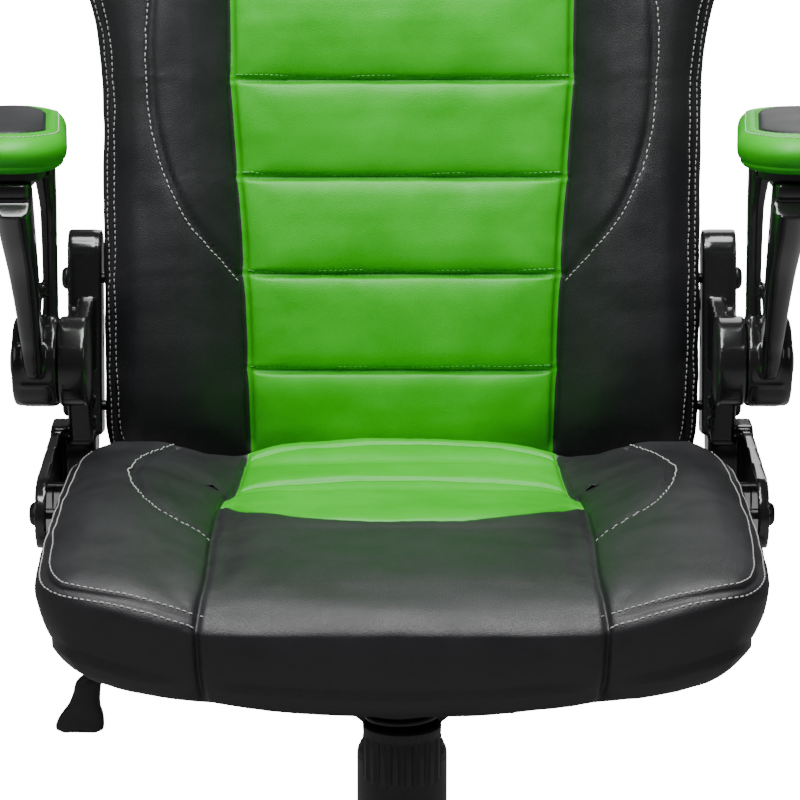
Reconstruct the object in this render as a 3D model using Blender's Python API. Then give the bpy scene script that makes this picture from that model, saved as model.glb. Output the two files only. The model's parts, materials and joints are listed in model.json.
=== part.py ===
# Racing-style office chair with flip-up armrests, metres, +Z up, the sitter faces -Y.
# Everything is drawn round the gas column's axis, and moved at the end so that the
# origin lies on the floor under the middle of the chair's box.

import bmesh
import bpy
from math import cos, pi, radians, sin, tan

# Whole chair
columnToMiddle = 0.00952     # how far the middle of the box lies behind the column
gap = 0.0003                 # between pieces that touch
runningGap = 0.0005          # between pieces that turn or slide on each other

# Five-star base and casters
legCount = 5
casterCircle = 0.285         # from the column to each caster's stem
hubRadius = 0.042
hubBottom, hubTop = 0.075, 0.150
legTipBottom, legTipTop = 0.066, 0.092
socketRadius = 0.017
wheelRadius = 0.025
wheelSides = 16
wheelInner, wheelOuter = 0.0045, 0.0215   # the two faces of each wheel, from the middle
axleRadius = 0.003
sleeveRadius = 0.006
casterTrail = 0.018
hoodThickness = 0.0025
stemRadius = 0.0055
axleHeight = wheelRadius * cos(pi / wheelSides)   # the wheels stand on one flat each

# Gas column
tubeRadius = 0.025
tubeBottom, tubeTop = 0.076, 0.240
cylinderRadius = 0.014
cylinderBottom, cylinderTop = 0.105, 0.330
pistonRadius = 0.005
coverWall = 0.0019
coverStep = 0.0027           # each cover tier is this much wider than the one inside it
coverTop = 0.2785
buttonRadius = 0.004
buttonTop = 0.337

# Tilt mechanism
housingHalfWidth = 0.080
housingWall = 0.004
housingFloor = 0.319
housingFrontFloor = 0.3445
housingFront, housingRear = -0.150, 0.070
housingTop, housingRearTop = 0.360, 0.3385
bossRadius = 0.028
tiltPinY, tiltPinZ = -0.050, 0.347
tiltPinRadius = 0.005
plateBottom, plateThickness = 0.3647, 0.004
plateHalfWidth = 0.100
knobY = -0.120
knobRadius = 0.028
knobBottom, knobTop = 0.287, 0.330
fluteCount = 18
springWire = 0.0022
springRadius = 0.0245
springTurns = 2.0
boltRadius = 0.004

# Height lever
leverZ = 0.342
leverPivotX = -0.045
leverRadius = 0.004
bushRadius = 0.008

# Seat
seatHalfWidth = 0.260
seatFront, seatRear = -0.268, 0.141
seatRim = 0.366
seatCentreTop = 0.455
seatTongue = 0.024           # the seat's rear edge reaches back between the back's bolsters
seatBolster = 0.026
boardBottom, boardThickness = 0.3690, 0.012
boardHalfWidth = 0.205
boardFront, boardRear = -0.225, 0.130

# Back
backLean = radians(9)
backFootY, backFootZ = 0.170, 0.460
backDepth = 0.065
backBolster = 0.030
backBoardThickness = 0.010
# height up the back, half width, how far the side bolsters stand out
backSections = [
    (-0.034, 0.205, 0.0), (-0.018, 0.223, 0.2), (0.015, 0.2285, 0.7), (0.100, 0.2300, 0.9),
    (0.200, 0.2300, 1.0), (0.300, 0.2310, 1.0), (0.375, 0.2325, 1.0), (0.430, 0.2460, 1.0),
    (0.480, 0.2580, 1.0), (0.530, 0.2500, 0.9), (0.580, 0.2150, 0.6), (0.630, 0.1780, 0.3),
    (0.675, 0.1560, 0.1), (0.700, 0.1330, 0.0), (0.712, 0.1050, 0.0),
]

# Armrests and side brackets
pivotY, pivotZ = 0.120, 0.536
drumRadius = 0.034
bracketInner, bracketOuter = 0.2365, 0.2580
drumSplit = 0.2585
drumOuter = 0.2960
seatArmInner, seatArmOuter = 0.2625, 0.2715
armInner, armOuter = 0.2630, 0.2870
padSlope = radians(4)        # the armrest pads rise to the front
padLength = 0.255
padFrontY = -0.090
padFrontTop = 0.7440
padThickness = 0.028
padPlateThickness = 0.006
padHalfWidth = 0.042
padMiddleX = 0.2860
padToeIn = radians(5)
backBoltYZ = [(0.211, 0.581), (0.197, 0.483)]
seatBoltYZ = [(0.048, 0.436), (0.118, 0.438)]
bracketBoltRadius = 0.004


# ---------------------------------------------------------------- helpers

def makeMaterial(name, colour, roughness, metallic=0.0):
    material = bpy.data.materials.new(name)
    material.use_nodes = True
    shader = material.node_tree.nodes["Principled BSDF"]
    shader.inputs["Base Color"].default_value = (*colour, 1.0)
    shader.inputs["Roughness"].default_value = roughness
    shader.inputs["Metallic"].default_value = metallic
    return material


def addPiece(name, mesh, material=None, origin=(0, 0, 0)):
    """An object whose own origin lies at the given point; its mesh keeps its place."""
    for vertex in mesh.vertices:
        vertex.co.x -= origin[0]
        vertex.co.y -= origin[1]
        vertex.co.z -= origin[2]
    piece = bpy.data.objects.new(name, mesh)
    piece.location = origin
    bpy.context.scene.collection.objects.link(piece)
    if material:
        mesh.materials.append(material)
        mesh.shade_smooth()
        mesh.set_sharp_from_angle(angle=radians(35))
    return piece


def finishMesh(shape):
    bmesh.ops.recalc_face_normals(shape, faces=shape.faces)
    mesh = bpy.data.meshes.new("shape")
    shape.to_mesh(mesh)
    shape.free()
    return mesh


def loft(rings):
    """Skins rings of points that have the same count, and closes both ends."""
    shape = bmesh.new()
    loops = [[shape.verts.new(point) for point in ring] for ring in rings]
    count = len(loops[0])
    for low, high in zip(loops, loops[1:]):
        for i in range(count):
            j = (i + 1) % count
            shape.faces.new((low[i], low[j], high[j], high[i]))
    shape.faces.new(loops[0])
    shape.faces.new(loops[-1])
    return finishMesh(shape)


def lathe(profile, sides=24, axis="Z", centre=(0, 0, 0), turn=0.0):
    """Turns (radius, height) points round an axis. Ends on the axis make a solid, others a tube."""
    shape = bmesh.new()

    def place(radius, height, angle):
        a, b = radius * cos(angle), radius * sin(angle)
        x, y, z = {"Z": (a, b, height), "X": (height, a, b), "Y": (b, height, a)}[axis]
        return (x + centre[0], y + centre[1], z + centre[2])

    loops = []
    for radius, height in profile:
        if radius == 0:
            loops.append([shape.verts.new(place(0, height, 0))] * sides)
        else:
            loops.append([shape.verts.new(place(radius, height, turn + 2 * pi * i / sides))
                          for i in range(sides)])
    pairs = list(zip(loops, loops[1:]))
    if profile[0][0] > 0:
        pairs.append((loops[-1], loops[0]))
    for low, high in pairs:
        for i in range(sides):
            j = (i + 1) % sides
            corners = []
            for corner in (low[i], low[j], high[j], high[i]):
                if corner not in corners:
                    corners.append(corner)
            if len(corners) > 2:
                shape.faces.new(corners)
    return finishMesh(shape)


def rod(radius, low, high, sides=16, axis="Z", centre=(0, 0, 0)):
    return lathe([(0, low), (radius, low), (radius, high), (0, high)], sides, axis, centre)


def prism(outline, low, high, axis="X"):
    """Extrudes an outline of the other two coordinates along an axis."""
    order = {"X": lambda a, b, h: (h, a, b), "Y": lambda a, b, h: (a, h, b),
             "Z": lambda a, b, h: (a, b, h)}[axis]
    return loft([[order(a, b, h) for a, b in outline] for h in (low, high)])


def barOutline(start, end, startRadius, endRadius, steps=6):
    """A bar with round ends between two points."""
    dx, dy = end[0] - start[0], end[1] - start[1]
    length = (dx * dx + dy * dy) ** 0.5
    ux, uy = dx / length, dy / length
    outline = []
    for centre, radius, first in ((end, endRadius, -pi / 2), (start, startRadius, pi / 2)):
        for i in range(steps + 1):
            angle = first + pi * i / steps
            outline.append((centre[0] + radius * (cos(angle) * ux - sin(angle) * uy),
                            centre[1] + radius * (cos(angle) * uy + sin(angle) * ux)))
    return outline


def combine(piece, operation, *meshes):
    """Adds or cuts other meshes with exact Booleans."""
    for mesh in meshes:
        helper = addPiece(f"{piece.name} helper", mesh)
        helper.hide_render = True
        helper.display_type = "WIRE"
        modifier = piece.modifiers.new(operation.lower(), "BOOLEAN")
        modifier.operation = operation
        modifier.solver = "EXACT"
        modifier.object = helper


def softPower(value, power):
    return (1 if value >= 0 else -1) * abs(value) ** power


def backPoint(x, height, forward):
    """A point at this height up the leaning back, and this far in front of its face."""
    return (x, backFootY + height * sin(backLean) - forward * cos(backLean),
            backFootZ + height * cos(backLean) + forward * sin(backLean))


def boltAlongX(name, side, y, z, headInner, tip, material, shank=bracketBoltRadius):
    """A button-head bolt whose head lies outside the bracket and whose shank points inwards."""
    headRadius, headHeight = 0.009, 0.005
    profile = [(0, tip), (shank, tip), (shank, headInner + gap), (headRadius, headInner + gap),
               (headRadius, headInner + 0.6 * headHeight), (0.6 * headRadius, headInner + headHeight),
               (0, headInner + headHeight)]
    profile = [(radius, side * height) for radius, height in profile]
    return addPiece(name, lathe(profile, 12, "X", (0, y, z)), material)


# ---------------------------------------------------------------- base and casters

def makeBase():
    base = addPiece("star_base", rod(hubRadius, hubBottom, hubTop, 24), nylon)
    for leg in range(legCount):
        angle = -pi / 2 + 2 * pi * leg / legCount
        across, along = (-sin(angle), cos(angle)), (cos(angle), sin(angle))

        def section(distance, bottomHalf, topHalf, low, high):
            corners = [(-bottomHalf, low), (bottomHalf, low), (bottomHalf, high - 0.010),
                       (topHalf, high), (-topHalf, high), (-bottomHalf, high - 0.010)]
            return [(distance * along[0] + side * across[0], distance * along[1] + side * across[1], z)
                    for side, z in corners]

        leg = loft([section(0.020, 0.026, 0.016, 0.086, 0.143),
                    section(0.090, 0.024, 0.014, 0.082, 0.134),
                    section(0.190, 0.019, 0.012, 0.074, 0.112),
                    section(casterCircle, 0.015, 0.010, 0.070, legTipTop - 0.001)])
        tip = (casterCircle * along[0], casterCircle * along[1], 0)
        combine(base, "UNION", leg, rod(socketRadius, legTipBottom, legTipTop, 14, "Z", tip))
    combine(base, "DIFFERENCE", rod(tubeRadius + gap, hubBottom - 0.01, hubTop + 0.01, 24))
    for leg in range(legCount):
        angle = -pi / 2 + 2 * pi * leg / legCount
        tip = (casterCircle * cos(angle), casterCircle * sin(angle), 0)
        combine(base, "DIFFERENCE",
                rod(stemRadius + gap, legTipBottom - 0.01, legTipTop - 0.003, 12, "Z", tip))


def turnedMesh(mesh, angle, centre):
    """Turns a mesh drawn at the origin, trailing along +X, to its caster's place."""
    for vertex in mesh.vertices:
        x, y = vertex.co.x, vertex.co.y
        vertex.co.x = centre[0] + x * cos(angle) - y * sin(angle)
        vertex.co.y = centre[1] + x * sin(angle) + y * cos(angle)
    return mesh


def makeCasters():
    hoodOuter = wheelRadius + 0.0008 + hoodThickness
    axleCentre = (casterTrail, 0, axleHeight)
    for number in range(legCount):
        angle = -pi / 2 + 2 * pi * number / legCount
        swivel = (casterCircle * cos(angle), casterCircle * sin(angle), 0)
        spin = (swivel[0] + casterTrail * cos(angle), swivel[1] + casterTrail * sin(angle), axleHeight)
        tag = f"caster_{number + 1}"

        def placed(mesh):
            return turnedMesh(mesh, angle, swivel)

        collar = [(0, 0.0530), (stemRadius, 0.0530), (stemRadius, 0.0620), (0.010, 0.0620),
                  (0.010, 0.0655), (stemRadius, 0.0655), (stemRadius, 0.0885), (0, 0.0885)]
        addPiece(f"{tag}_stem", placed(lathe(collar, 12)), steel, swivel)

        fender = []
        for radius, order in ((hoodOuter, 1), (wheelRadius + 0.0008, -1)):
            steps = range(0, 10)[::order]
            fender += [(casterTrail + radius * cos(radians(-12 + 192 * i / 9)),
                        axleHeight + radius * sin(radians(-12 + 192 * i / 9))) for i in steps]
        web = [(casterTrail + hoodOuter * 0.985 * cos(radians(-12 + 192 * i / 9)),
                axleHeight + hoodOuter * 0.985 * sin(radians(-12 + 192 * i / 9))) for i in range(10)]
        web += [(casterTrail - 0.010, axleHeight - 0.006), (casterTrail, axleHeight - 0.011),
                (casterTrail + 0.012, axleHeight - 0.010)]
        hood = addPiece(f"{tag}_hood", placed(prism(web, -0.0035, 0.0035, "Y")), nylon, swivel)
        combine(hood, "UNION", placed(prism(fender, -0.0225, 0.0225, "Y")),
                placed(rod(0.0105, 0.0500, 0.0617, 12)))
        combine(hood, "DIFFERENCE", placed(rod(stemRadius + gap, 0.0527, 0.0700, 12)),
                placed(rod(sleeveRadius + runningGap, -0.01, 0.01, 12, "Y", axleCentre)))

        half = [(wheelInner, sleeveRadius), (wheelInner, wheelRadius), (wheelOuter - 0.003, wheelRadius),
                (wheelOuter, wheelRadius - 0.004), (wheelOuter, axleRadius + gap)]
        profile = [(radius, height) for height, radius in half]
        profile += [(radius, -height) for height, radius in reversed(half)]
        wheels = lathe(profile, wheelSides, "Y", axleCentre, pi + pi / wheelSides)
        addPiece(f"{tag}_wheels", placed(wheels), tread, spin)
        axle = rod(axleRadius, -wheelOuter - 0.0008, wheelOuter + 0.0008, 10, "Y", axleCentre)
        addPiece(f"{tag}_axle", placed(axle), steel, spin)


# ---------------------------------------------------------------- gas column

def makeColumn():
    bore = cylinderRadius + runningGap
    addPiece("column_tube", lathe([
        (pistonRadius + gap, tubeBottom), (tubeRadius, tubeBottom), (tubeRadius, tubeTop),
        (bore, tubeTop), (bore, tubeBottom + 0.004), (pistonRadius + gap, tubeBottom + 0.004)], 24), steel)
    addPiece("piston_rod", rod(pistonRadius, tubeBottom, 0.295, 12), brightSteel)
    addPiece("gas_cylinder", lathe([
        (pistonRadius + runningGap, cylinderBottom), (cylinderRadius, cylinderBottom),
        (cylinderRadius, cylinderTop), (buttonRadius + gap, cylinderTop), (buttonRadius + gap, 0.320),
        (0.0005, 0.320), (0.0005, 0.305), (pistonRadius + runningGap, 0.305)], 16), brightSteel)
    addPiece("valve_button", rod(buttonRadius, 0.3265, buttonTop, 12), steel)

    inner = tubeRadius + 0.0006
    for name, low, high in (("cover_bottom", 0.1503, 0.238), ("cover_middle", 0.1523, 0.250)):
        outer = inner + coverWall
        addPiece(name, lathe([(inner, low), (outer, low), (outer, high), (inner, high)], 24), nylon)
        inner += coverStep
    outer = inner + coverWall + 0.0005
    addPiece("cover_top", lathe([
        (inner, 0.1543), (outer, 0.1543), (outer, coverTop - 0.012), (outer - 0.0015, coverTop - 0.005),
        (outer - 0.006, coverTop), (cylinderRadius + runningGap, coverTop),
        (cylinderRadius + runningGap, coverTop - 0.004), (inner, coverTop - 0.004)], 24), nylon)


# ---------------------------------------------------------------- tilt mechanism

def makeMechanism():
    wall = housingWall
    side = [(housingFront, housingFrontFloor), (-0.075, housingFrontFloor), (-0.055, housingFloor),
            (housingRear, housingFloor), (housingRear, housingRearTop), (-0.045, housingTop),
            (housingFront, housingTop)]
    housing = addPiece("mechanism_housing", prism(side, -housingHalfWidth, housingHalfWidth), castMetal)
    pocket = [(housingFront + wall, housingFrontFloor + wall), (-0.073, housingFrontFloor + wall),
              (-0.053, housingFloor + wall), (housingRear - wall, housingFloor + wall),
              (housingRear - wall, 0.400), (housingFront + wall, 0.400)]
    combine(housing, "DIFFERENCE", prism(pocket, wall - housingHalfWidth, housingHalfWidth - wall))
    combine(housing, "UNION", rod(bossRadius, coverTop + gap, housingFloor + 0.001, 24))
    cheek = [(leverPivotX - 0.009, housingFloor + 0.001), (leverPivotX + 0.009, housingFloor + 0.001),
             (leverPivotX + 0.007, leverZ + 0.0075), (leverPivotX - 0.007, leverZ + 0.0075)]
    for near, far in ((-0.0155, -0.0112), (0.0112, 0.0155)):
        combine(housing, "UNION", prism(cheek, near, far, "Y"))
    notch = [(-0.0065, leverZ - 0.007), (0.0065, leverZ - 0.007), (0.0065, 0.400), (-0.0065, 0.400)]
    combine(housing, "DIFFERENCE",
            rod(cylinderRadius + runningGap, 0.250, 0.335, 24),
            rod(tiltPinRadius + gap, -0.10, 0.10, 12, "X", (0, tiltPinY, tiltPinZ)),
            rod(0.0045 + runningGap, -0.03, 0.03, 12, "Y", (leverPivotX, 0, leverZ)),
            prism(notch, -housingHalfWidth - 0.01, wall - housingHalfWidth + 0.001),
            rod(boltRadius + runningGap, 0.330, 0.355, 12, "Z", (0, knobY, 0)))
    addPiece("tilt_pin", rod(tiltPinRadius, -0.0925, 0.0925, 12, "X", (0, tiltPinY, tiltPinZ)), brightSteel)

    plateTop = plateBottom + plateThickness
    outline = [(-plateHalfWidth, -0.140), (plateHalfWidth, -0.140), (plateHalfWidth, 0.100),
               (-plateHalfWidth, 0.100)]
    plate = addPiece("seat_plate", prism(outline, plateBottom, plateTop, "Z"), castMetal,
                     (0, tiltPinY, tiltPinZ))
    lug = barOutline((tiltPinY, tiltPinZ), (tiltPinY, plateBottom + 0.001), 0.011, 0.014, 6)
    lug = [(y, min(z, plateTop - 0.001)) for y, z in lug]
    for side in (-1, 1):
        combine(plate, "UNION", prism(lug, side * 0.0835, side * 0.0880))
    combine(plate, "DIFFERENCE",
            rod(tiltPinRadius + runningGap, -0.10, 0.10, 12, "X", (0, tiltPinY, tiltPinZ)))

    addPiece("tension_bolt", lathe([
        (0, knobBottom + 0.004), (boltRadius, knobBottom + 0.004), (boltRadius, 0.3490),
        (0.008, 0.3490), (0.008, 0.3545), (0, 0.3545)], 12, "Z", (0, knobY, 0)), brightSteel)
    rings = []
    for i, (height, ribbed) in enumerate([(knobBottom, 1), (knobTop - 0.009, 1), (knobTop - 0.0075, 0),
                                          (knobTop - gap, 0)]):
        ring = []
        for step in range(fluteCount * 3):
            depth = 0.0018 if ribbed and step % 3 == 2 else 0.0
            if i == 0:
                depth += 0.0010
            angle = 2 * pi * step / (fluteCount * 3)
            ring.append(((knobRadius - depth) * cos(angle), knobY + (knobRadius - depth) * sin(angle), height))
        rings.append(ring)
    knob = addPiece("tension_knob", loft(rings), mattePlastic, (0, knobY, 0.310))
    combine(knob, "DIFFERENCE",
            rod(boltRadius + gap, knobBottom + 0.0037, knobTop + 0.010, 12, "Z", (0, knobY, 0)))
    addSpring()


def addSpring():
    """A round-wire helix between the knob and the housing."""
    low, high = knobTop + springWire, housingFrontFloor - gap - springWire
    stepsPerTurn, wireSides = 16, 6
    rings = []
    count = int(springTurns * stepsPerTurn)
    for i in range(count + 1):
        angle = 2 * pi * i / stepsPerTurn
        height = low + (high - low) * i / count
        ring = []
        for j in range(wireSides):
            around = 2 * pi * j / wireSides
            radius = springRadius + springWire * cos(around)
            ring.append((radius * cos(angle), knobY + radius * sin(angle), height + springWire * sin(around)))
        rings.append(ring)
    addPiece("tension_spring", loft(rings), castMetal)


def makeLever():
    bush = addPiece("lever_bush", lathe([
        (0, -0.0152), (0.0045, -0.0152), (0.0045, -0.0110), (bushRadius, -0.0110), (bushRadius, 0.0110),
        (0.0045, 0.0110), (0.0045, 0.0152), (0, 0.0152)], 16, "Y", (leverPivotX, 0, leverZ)),
        mattePlastic, (leverPivotX, 0, leverZ))
    combine(bush, "DIFFERENCE", rod(leverRadius + gap, -0.1, 0.1, 12, "X", (0, 0, leverZ)))

    route = [(0.003, leverZ), (-0.060, leverZ), (-0.100, leverZ), (-0.118, leverZ - 0.002),
             (-0.195, 0.3310), (-0.216, 0.3270), (-0.228, 0.3190), (-0.233, 0.3080)]
    rings = []
    for i, (x, z) in enumerate(route):
        ahead, behind = route[min(i + 1, len(route) - 1)], route[max(i - 1, 0)]
        dx, dz = ahead[0] - behind[0], ahead[1] - behind[1]
        length = (dx * dx + dz * dz) ** 0.5
        nx, nz = -dz / length, dx / length
        rings.append([(x + leverRadius * cos(a) * nx, leverRadius * sin(a), z + leverRadius * cos(a) * nz)
                      for a in [2 * pi * j / 10 for j in range(10)]])
    addPiece("lever_rod", loft(rings), steel, (leverPivotX, 0, leverZ))

    # middle x, height, half width along X, half thickness along Y
    sections = [(-0.2300, 0.3245, 0.0075, 0.0070), (-0.2315, 0.3200, 0.0095, 0.0080),
                (-0.2345, 0.3050, 0.0120, 0.0075), (-0.2375, 0.2920, 0.0170, 0.0065),
                (-0.2385, 0.2850, 0.0180, 0.0055), (-0.2385, 0.2825, 0.0160, 0.0035)]
    rings = [[(x + halfWidth * cos(a), halfThick * sin(a), z) for a in [2 * pi * j / 16 for j in range(16)]]
             for x, z, halfWidth, halfThick in sections]
    handle = addPiece("lever_handle", loft(rings), mattePlastic, (leverPivotX, 0, leverZ))
    pocket = []
    for i, (x, z) in enumerate([(-0.205, 0.3300), (-0.216, 0.3270), (-0.228, 0.3190), (-0.2332, 0.3070)]):
        nx, nz = [(0.21, 0.98), (0.46, 0.89), (0.74, 0.67), (0.91, 0.41)][i]
        radius = leverRadius + 0.0006
        pocket.append([(x - radius * cos(a) * nx, radius * sin(a), z + radius * cos(a) * nz)
                       for a in [2 * pi * j / 10 for j in range(10)]])
    combine(handle, "DIFFERENCE", loft(pocket))


# ---------------------------------------------------------------- seat and back

def makeSeat():
    middleY, halfLength = (seatFront + seatRear) / 2, (seatRear - seatFront) / 2
    middleZ = (seatRim + seatCentreTop) / 2
    rings = []
    for i in range(11):
        along = radians(-80 + 160 * i / 10)
        shrink = cos(along) ** 0.35
        y = middleY + halfLength * softPower(sin(along), 0.35) / sin(radians(80)) ** 0.35
        ring = []
        for j in range(30):
            around = 2 * pi * j / 30
            across = softPower(cos(around), 0.5)
            x = seatHalfWidth * shrink * across
            if sin(around) >= 0:
                rise = seatBolster * max(0.0, (abs(across) - 0.45) / 0.55) ** 0.8
                top = seatCentreTop - middleZ + rise * shrink
                z = middleZ + top * (0.4 + 0.6 * shrink) * softPower(sin(around), 0.45)
            else:
                z = middleZ + (middleZ - seatRim) * (0.4 + 0.6 * shrink) * softPower(sin(around), 0.40)
            tongue = seatTongue * max(0.0, 1 - (x / 0.150) ** 2) * max(0.0, sin(along)) ** 3
            ring.append((x, y + tongue, z))
        rings.append(ring)
    cushion = addPiece("seat_cushion", loft(rings), blackLeather, (0, tiltPinY, tiltPinZ))
    room = 0.0015
    recess = [(-boardHalfWidth - room, boardFront - room), (boardHalfWidth + room, boardFront - room),
              (boardHalfWidth + room, boardRear + room), (-boardHalfWidth - room, boardRear + room)]
    combine(cushion, "DIFFERENCE",
            prism(recess, seatRim - 0.02, boardBottom + boardThickness + gap, "Z"))
    for side in (-1, 1):
        for y, z in seatBoltYZ:
            combine(cushion, "DIFFERENCE", rod(bracketBoltRadius + gap, side * 0.240, side * 0.300, 10, "X", (0, y, z)))

    corner = 0.030
    outline = []
    for x, y, first in ((boardHalfWidth - corner, boardRear - corner, 0),
                        (corner - boardHalfWidth, boardRear - corner, 90),
                        (corner - boardHalfWidth, boardFront + corner, 180),
                        (boardHalfWidth - corner, boardFront + corner, 270)):
        for i in range(5):
            angle = radians(first + 90 * i / 4)
            outline.append((x + corner * cos(angle), y + corner * sin(angle)))
    addPiece("seat_board", prism(outline, boardBottom, boardBottom + boardThickness, "Z"), plywood,
             (0, tiltPinY, tiltPinZ))


def makeBack():
    # share of the half width, and distance in front of the middle of the face
    halfRing = [(0.00, 0.000, 0), (0.45, 0.000, 0.05), (0.60, 0.000, 0.45), (0.76, 0.000, 0.95),
                (0.90, 0.000, 0.92), (0.985, -0.014, 0.5), (1.00, -0.026, 0), (0.985, -0.040, 0),
                (0.945, -0.055, 0), (0.87, -backDepth, 0), (0.00, -backDepth, 0)]
    rings, boardRings = [], []
    for number, (height, halfWidth, bolster) in enumerate(backSections):
        ends = number in (0, len(backSections) - 1)
        points = []
        for share, forward, lift in halfRing:
            depth = forward * (0.75 if ends else 1.0) + lift * bolster * backBolster
            if ends:
                depth -= 0.008
            points.append((share * halfWidth, depth))
        mirrored = [(-x, forward) for x, forward in reversed(points[1:-1])]
        rings.append([backPoint(x, height, forward) for x, forward in points + mirrored])
        if 1 < number < len(backSections) - 2:
            low, high = -backDepth - gap - backBoardThickness, -backDepth - gap
            edge = 0.86 * halfWidth
            corners = [(-edge, high), (edge, high), (edge, low + 0.004), (edge - 0.004, low),
                       (0.004 - edge, low), (-edge, low + 0.004)]
            boardRings.append([backPoint(x, height, forward) for x, forward in corners])
    cushion = addPiece("back_cushion", loft(rings), blackLeather, (0, tiltPinY, tiltPinZ))
    for side in (-1, 1):
        for y, z in backBoltYZ:
            combine(cushion, "DIFFERENCE", rod(bracketBoltRadius + gap, side * 0.210, side * 0.300, 10, "X", (0, y, z)))
    addPiece("back_board", loft(boardRings), nylon, (0, tiltPinY, tiltPinZ))


# ---------------------------------------------------------------- armrests

def makeArmrest(side, word):
    def across(outline, near, far):
        return prism(outline, side * near, side * far)

    limb = barOutline((0.193, 0.462), (0.215, 0.600), 0.022, 0.019)
    bracket = addPiece(f"side_bracket_{word}", across(limb, bracketInner, bracketOuter), glossBlack,
                       (0, tiltPinY, tiltPinZ))
    combine(bracket, "UNION",
            across(barOutline((pivotY, pivotZ), (0.205, 0.545), 0.026, 0.026), bracketInner + 0.0005, bracketOuter - 0.0005),
            rod(drumRadius, side * bracketInner, side * bracketOuter, 24, "X", (0, pivotY, pivotZ)),
            across([(0.1685, 0.420), (0.200, 0.420), (0.212, 0.440), (0.205, 0.470), (0.1685, 0.470)], bracketInner + 0.001, seatArmOuter),
            across(barOutline((0.048, 0.437), (0.185, 0.443), 0.027, 0.025), seatArmInner, seatArmOuter + 0.0001))
    combine(bracket, "DIFFERENCE",
            rod(0.006 + gap, side * 0.20, side * 0.31, 12, "X", (0, pivotY, pivotZ)))
    for y, z in backBoltYZ + seatBoltYZ:
        combine(bracket, "DIFFERENCE", rod(bracketBoltRadius + gap, side * 0.20, side * 0.31, 10, "X", (0, y, z)))
    for number, (y, z) in enumerate(backBoltYZ):
        boltAlongX(f"back_bolt_{word}_{number + 1}", side, y, z, bracketOuter, 0.213, steel)
    for number, (y, z) in enumerate(seatBoltYZ):
        boltAlongX(f"seat_bolt_{word}_{number + 1}", side, y, z, seatArmOuter + 0.0001, 0.243, steel)

    pivot = (side * drumSplit, pivotY, pivotZ)
    padBottomFront = padFrontTop - padThickness
    def under(y, drop):
        return padBottomFront - (y - padFrontY) * tan(padSlope) - drop
    arm = addPiece(f"arm_{word}", rod(drumRadius, side * drumSplit, side * drumOuter, 24, "X", (0, pivotY, pivotZ)),
                   glossBlack, pivot)
    plateDrop = 2 * gap + padPlateThickness
    rail = [(-0.070, under(-0.070, plateDrop)), (0.145, under(0.145, plateDrop)),
            (0.145, under(0.145, plateDrop + 0.010)), (-0.070, under(-0.070, plateDrop + 0.010))]
    combine(arm, "UNION",
            across(barOutline((0.112, 0.546), (-0.052, 0.685), 0.015, 0.017), armInner, armOuter),
            across(barOutline((0.128, 0.550), (0.121, 0.677), 0.014, 0.012), armInner + 0.001, armOuter - 0.001),
            across(rail, armInner - 0.0005, armOuter + 0.0005))
    combine(arm, "DIFFERENCE",
            rod(0.006 + runningGap, side * 0.20, side * 0.31, 12, "X", (0, pivotY, pivotZ)),
            rod(0.014, side * (drumOuter - 0.004), side * 0.31, 16, "X", (0, pivotY, pivotZ)))
    boltProfile = [(0, 0.2370), (0.006, 0.2370), (0.006, drumOuter - 0.0037), (0.0125, drumOuter - 0.0037),
                   (0.0125, drumOuter + 0.001), (0.009, drumOuter + 0.003), (0, drumOuter + 0.003)]
    boltProfile = [(radius, side * height) for radius, height in boltProfile]
    addPiece(f"pivot_bolt_{word}", lathe(boltProfile, 16, "X", (0, pivotY, pivotZ)), steel, pivot)

    def padLevel(halfWidth, trim, drop, steps=6):
        """One level of the pad's outline: a bar with round ends, toed in and sloping."""
        length = padLength - 2 * trim
        corner = halfWidth * 0.85
        points = []
        for sx, sy, first in ((1, 1, 0), (-1, 1, 90), (-1, -1, 180), (1, -1, 270)):
            for i in range(steps + 1):
                angle = radians(first + 90 * i / steps)
                points.append((sx * (halfWidth - corner) + corner * cos(angle),
                               sy * (length / 2 - corner) + corner * sin(angle)))
        level = []
        for x, y in points:
            worldX = padMiddleX + x * cos(padToeIn) + y * sin(padToeIn)
            worldY = padFrontY + padLength / 2 + y * cos(padToeIn) - x * sin(padToeIn)
            level.append((side * worldX, worldY, padFrontTop - (worldY - padFrontY) * tan(padSlope) - drop))
        return level

    bottom = padThickness
    pad = loft([padLevel(padHalfWidth - 0.004, 0.004, bottom), padLevel(padHalfWidth, 0.0, bottom - 0.006),
                padLevel(padHalfWidth, 0.0, 0.010), padLevel(padHalfWidth - 0.003, 0.003, 0.003),
                padLevel(padHalfWidth - 0.010, 0.010, 0.0)])
    addPiece(f"arm_pad_{word}", pad, greenLeather, pivot)
    plate = loft([padLevel(0.028, 0.020, bottom + gap + padPlateThickness), padLevel(0.028, 0.020, bottom + gap)])
    addPiece(f"pad_plate_{word}", plate, mattePlastic, pivot)


# ---------------------------------------------------------------- the chair

for old in list(bpy.data.objects):
    bpy.data.objects.remove(old, do_unlink=True)

blackLeather = makeMaterial("black leather", (0.018, 0.018, 0.020), 0.42)
greenLeather = makeMaterial("green leather", (0.060, 0.430, 0.045), 0.40)
glossBlack = makeMaterial("gloss black", (0.010, 0.010, 0.011), 0.15)
mattePlastic = makeMaterial("matte black plastic", (0.020, 0.020, 0.020), 0.55)
nylon = makeMaterial("black nylon", (0.016, 0.016, 0.017), 0.45)
castMetal = makeMaterial("black painted steel", (0.020, 0.020, 0.021), 0.40, 0.2)
steel = makeMaterial("black steel", (0.060, 0.060, 0.063), 0.35, 0.9)
brightSteel = makeMaterial("bright steel", (0.620, 0.630, 0.640), 0.25, 1.0)
tread = makeMaterial("wheel tread", (0.015, 0.015, 0.015), 0.60)
plywood = makeMaterial("plywood", (0.480, 0.330, 0.190), 0.70)

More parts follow.
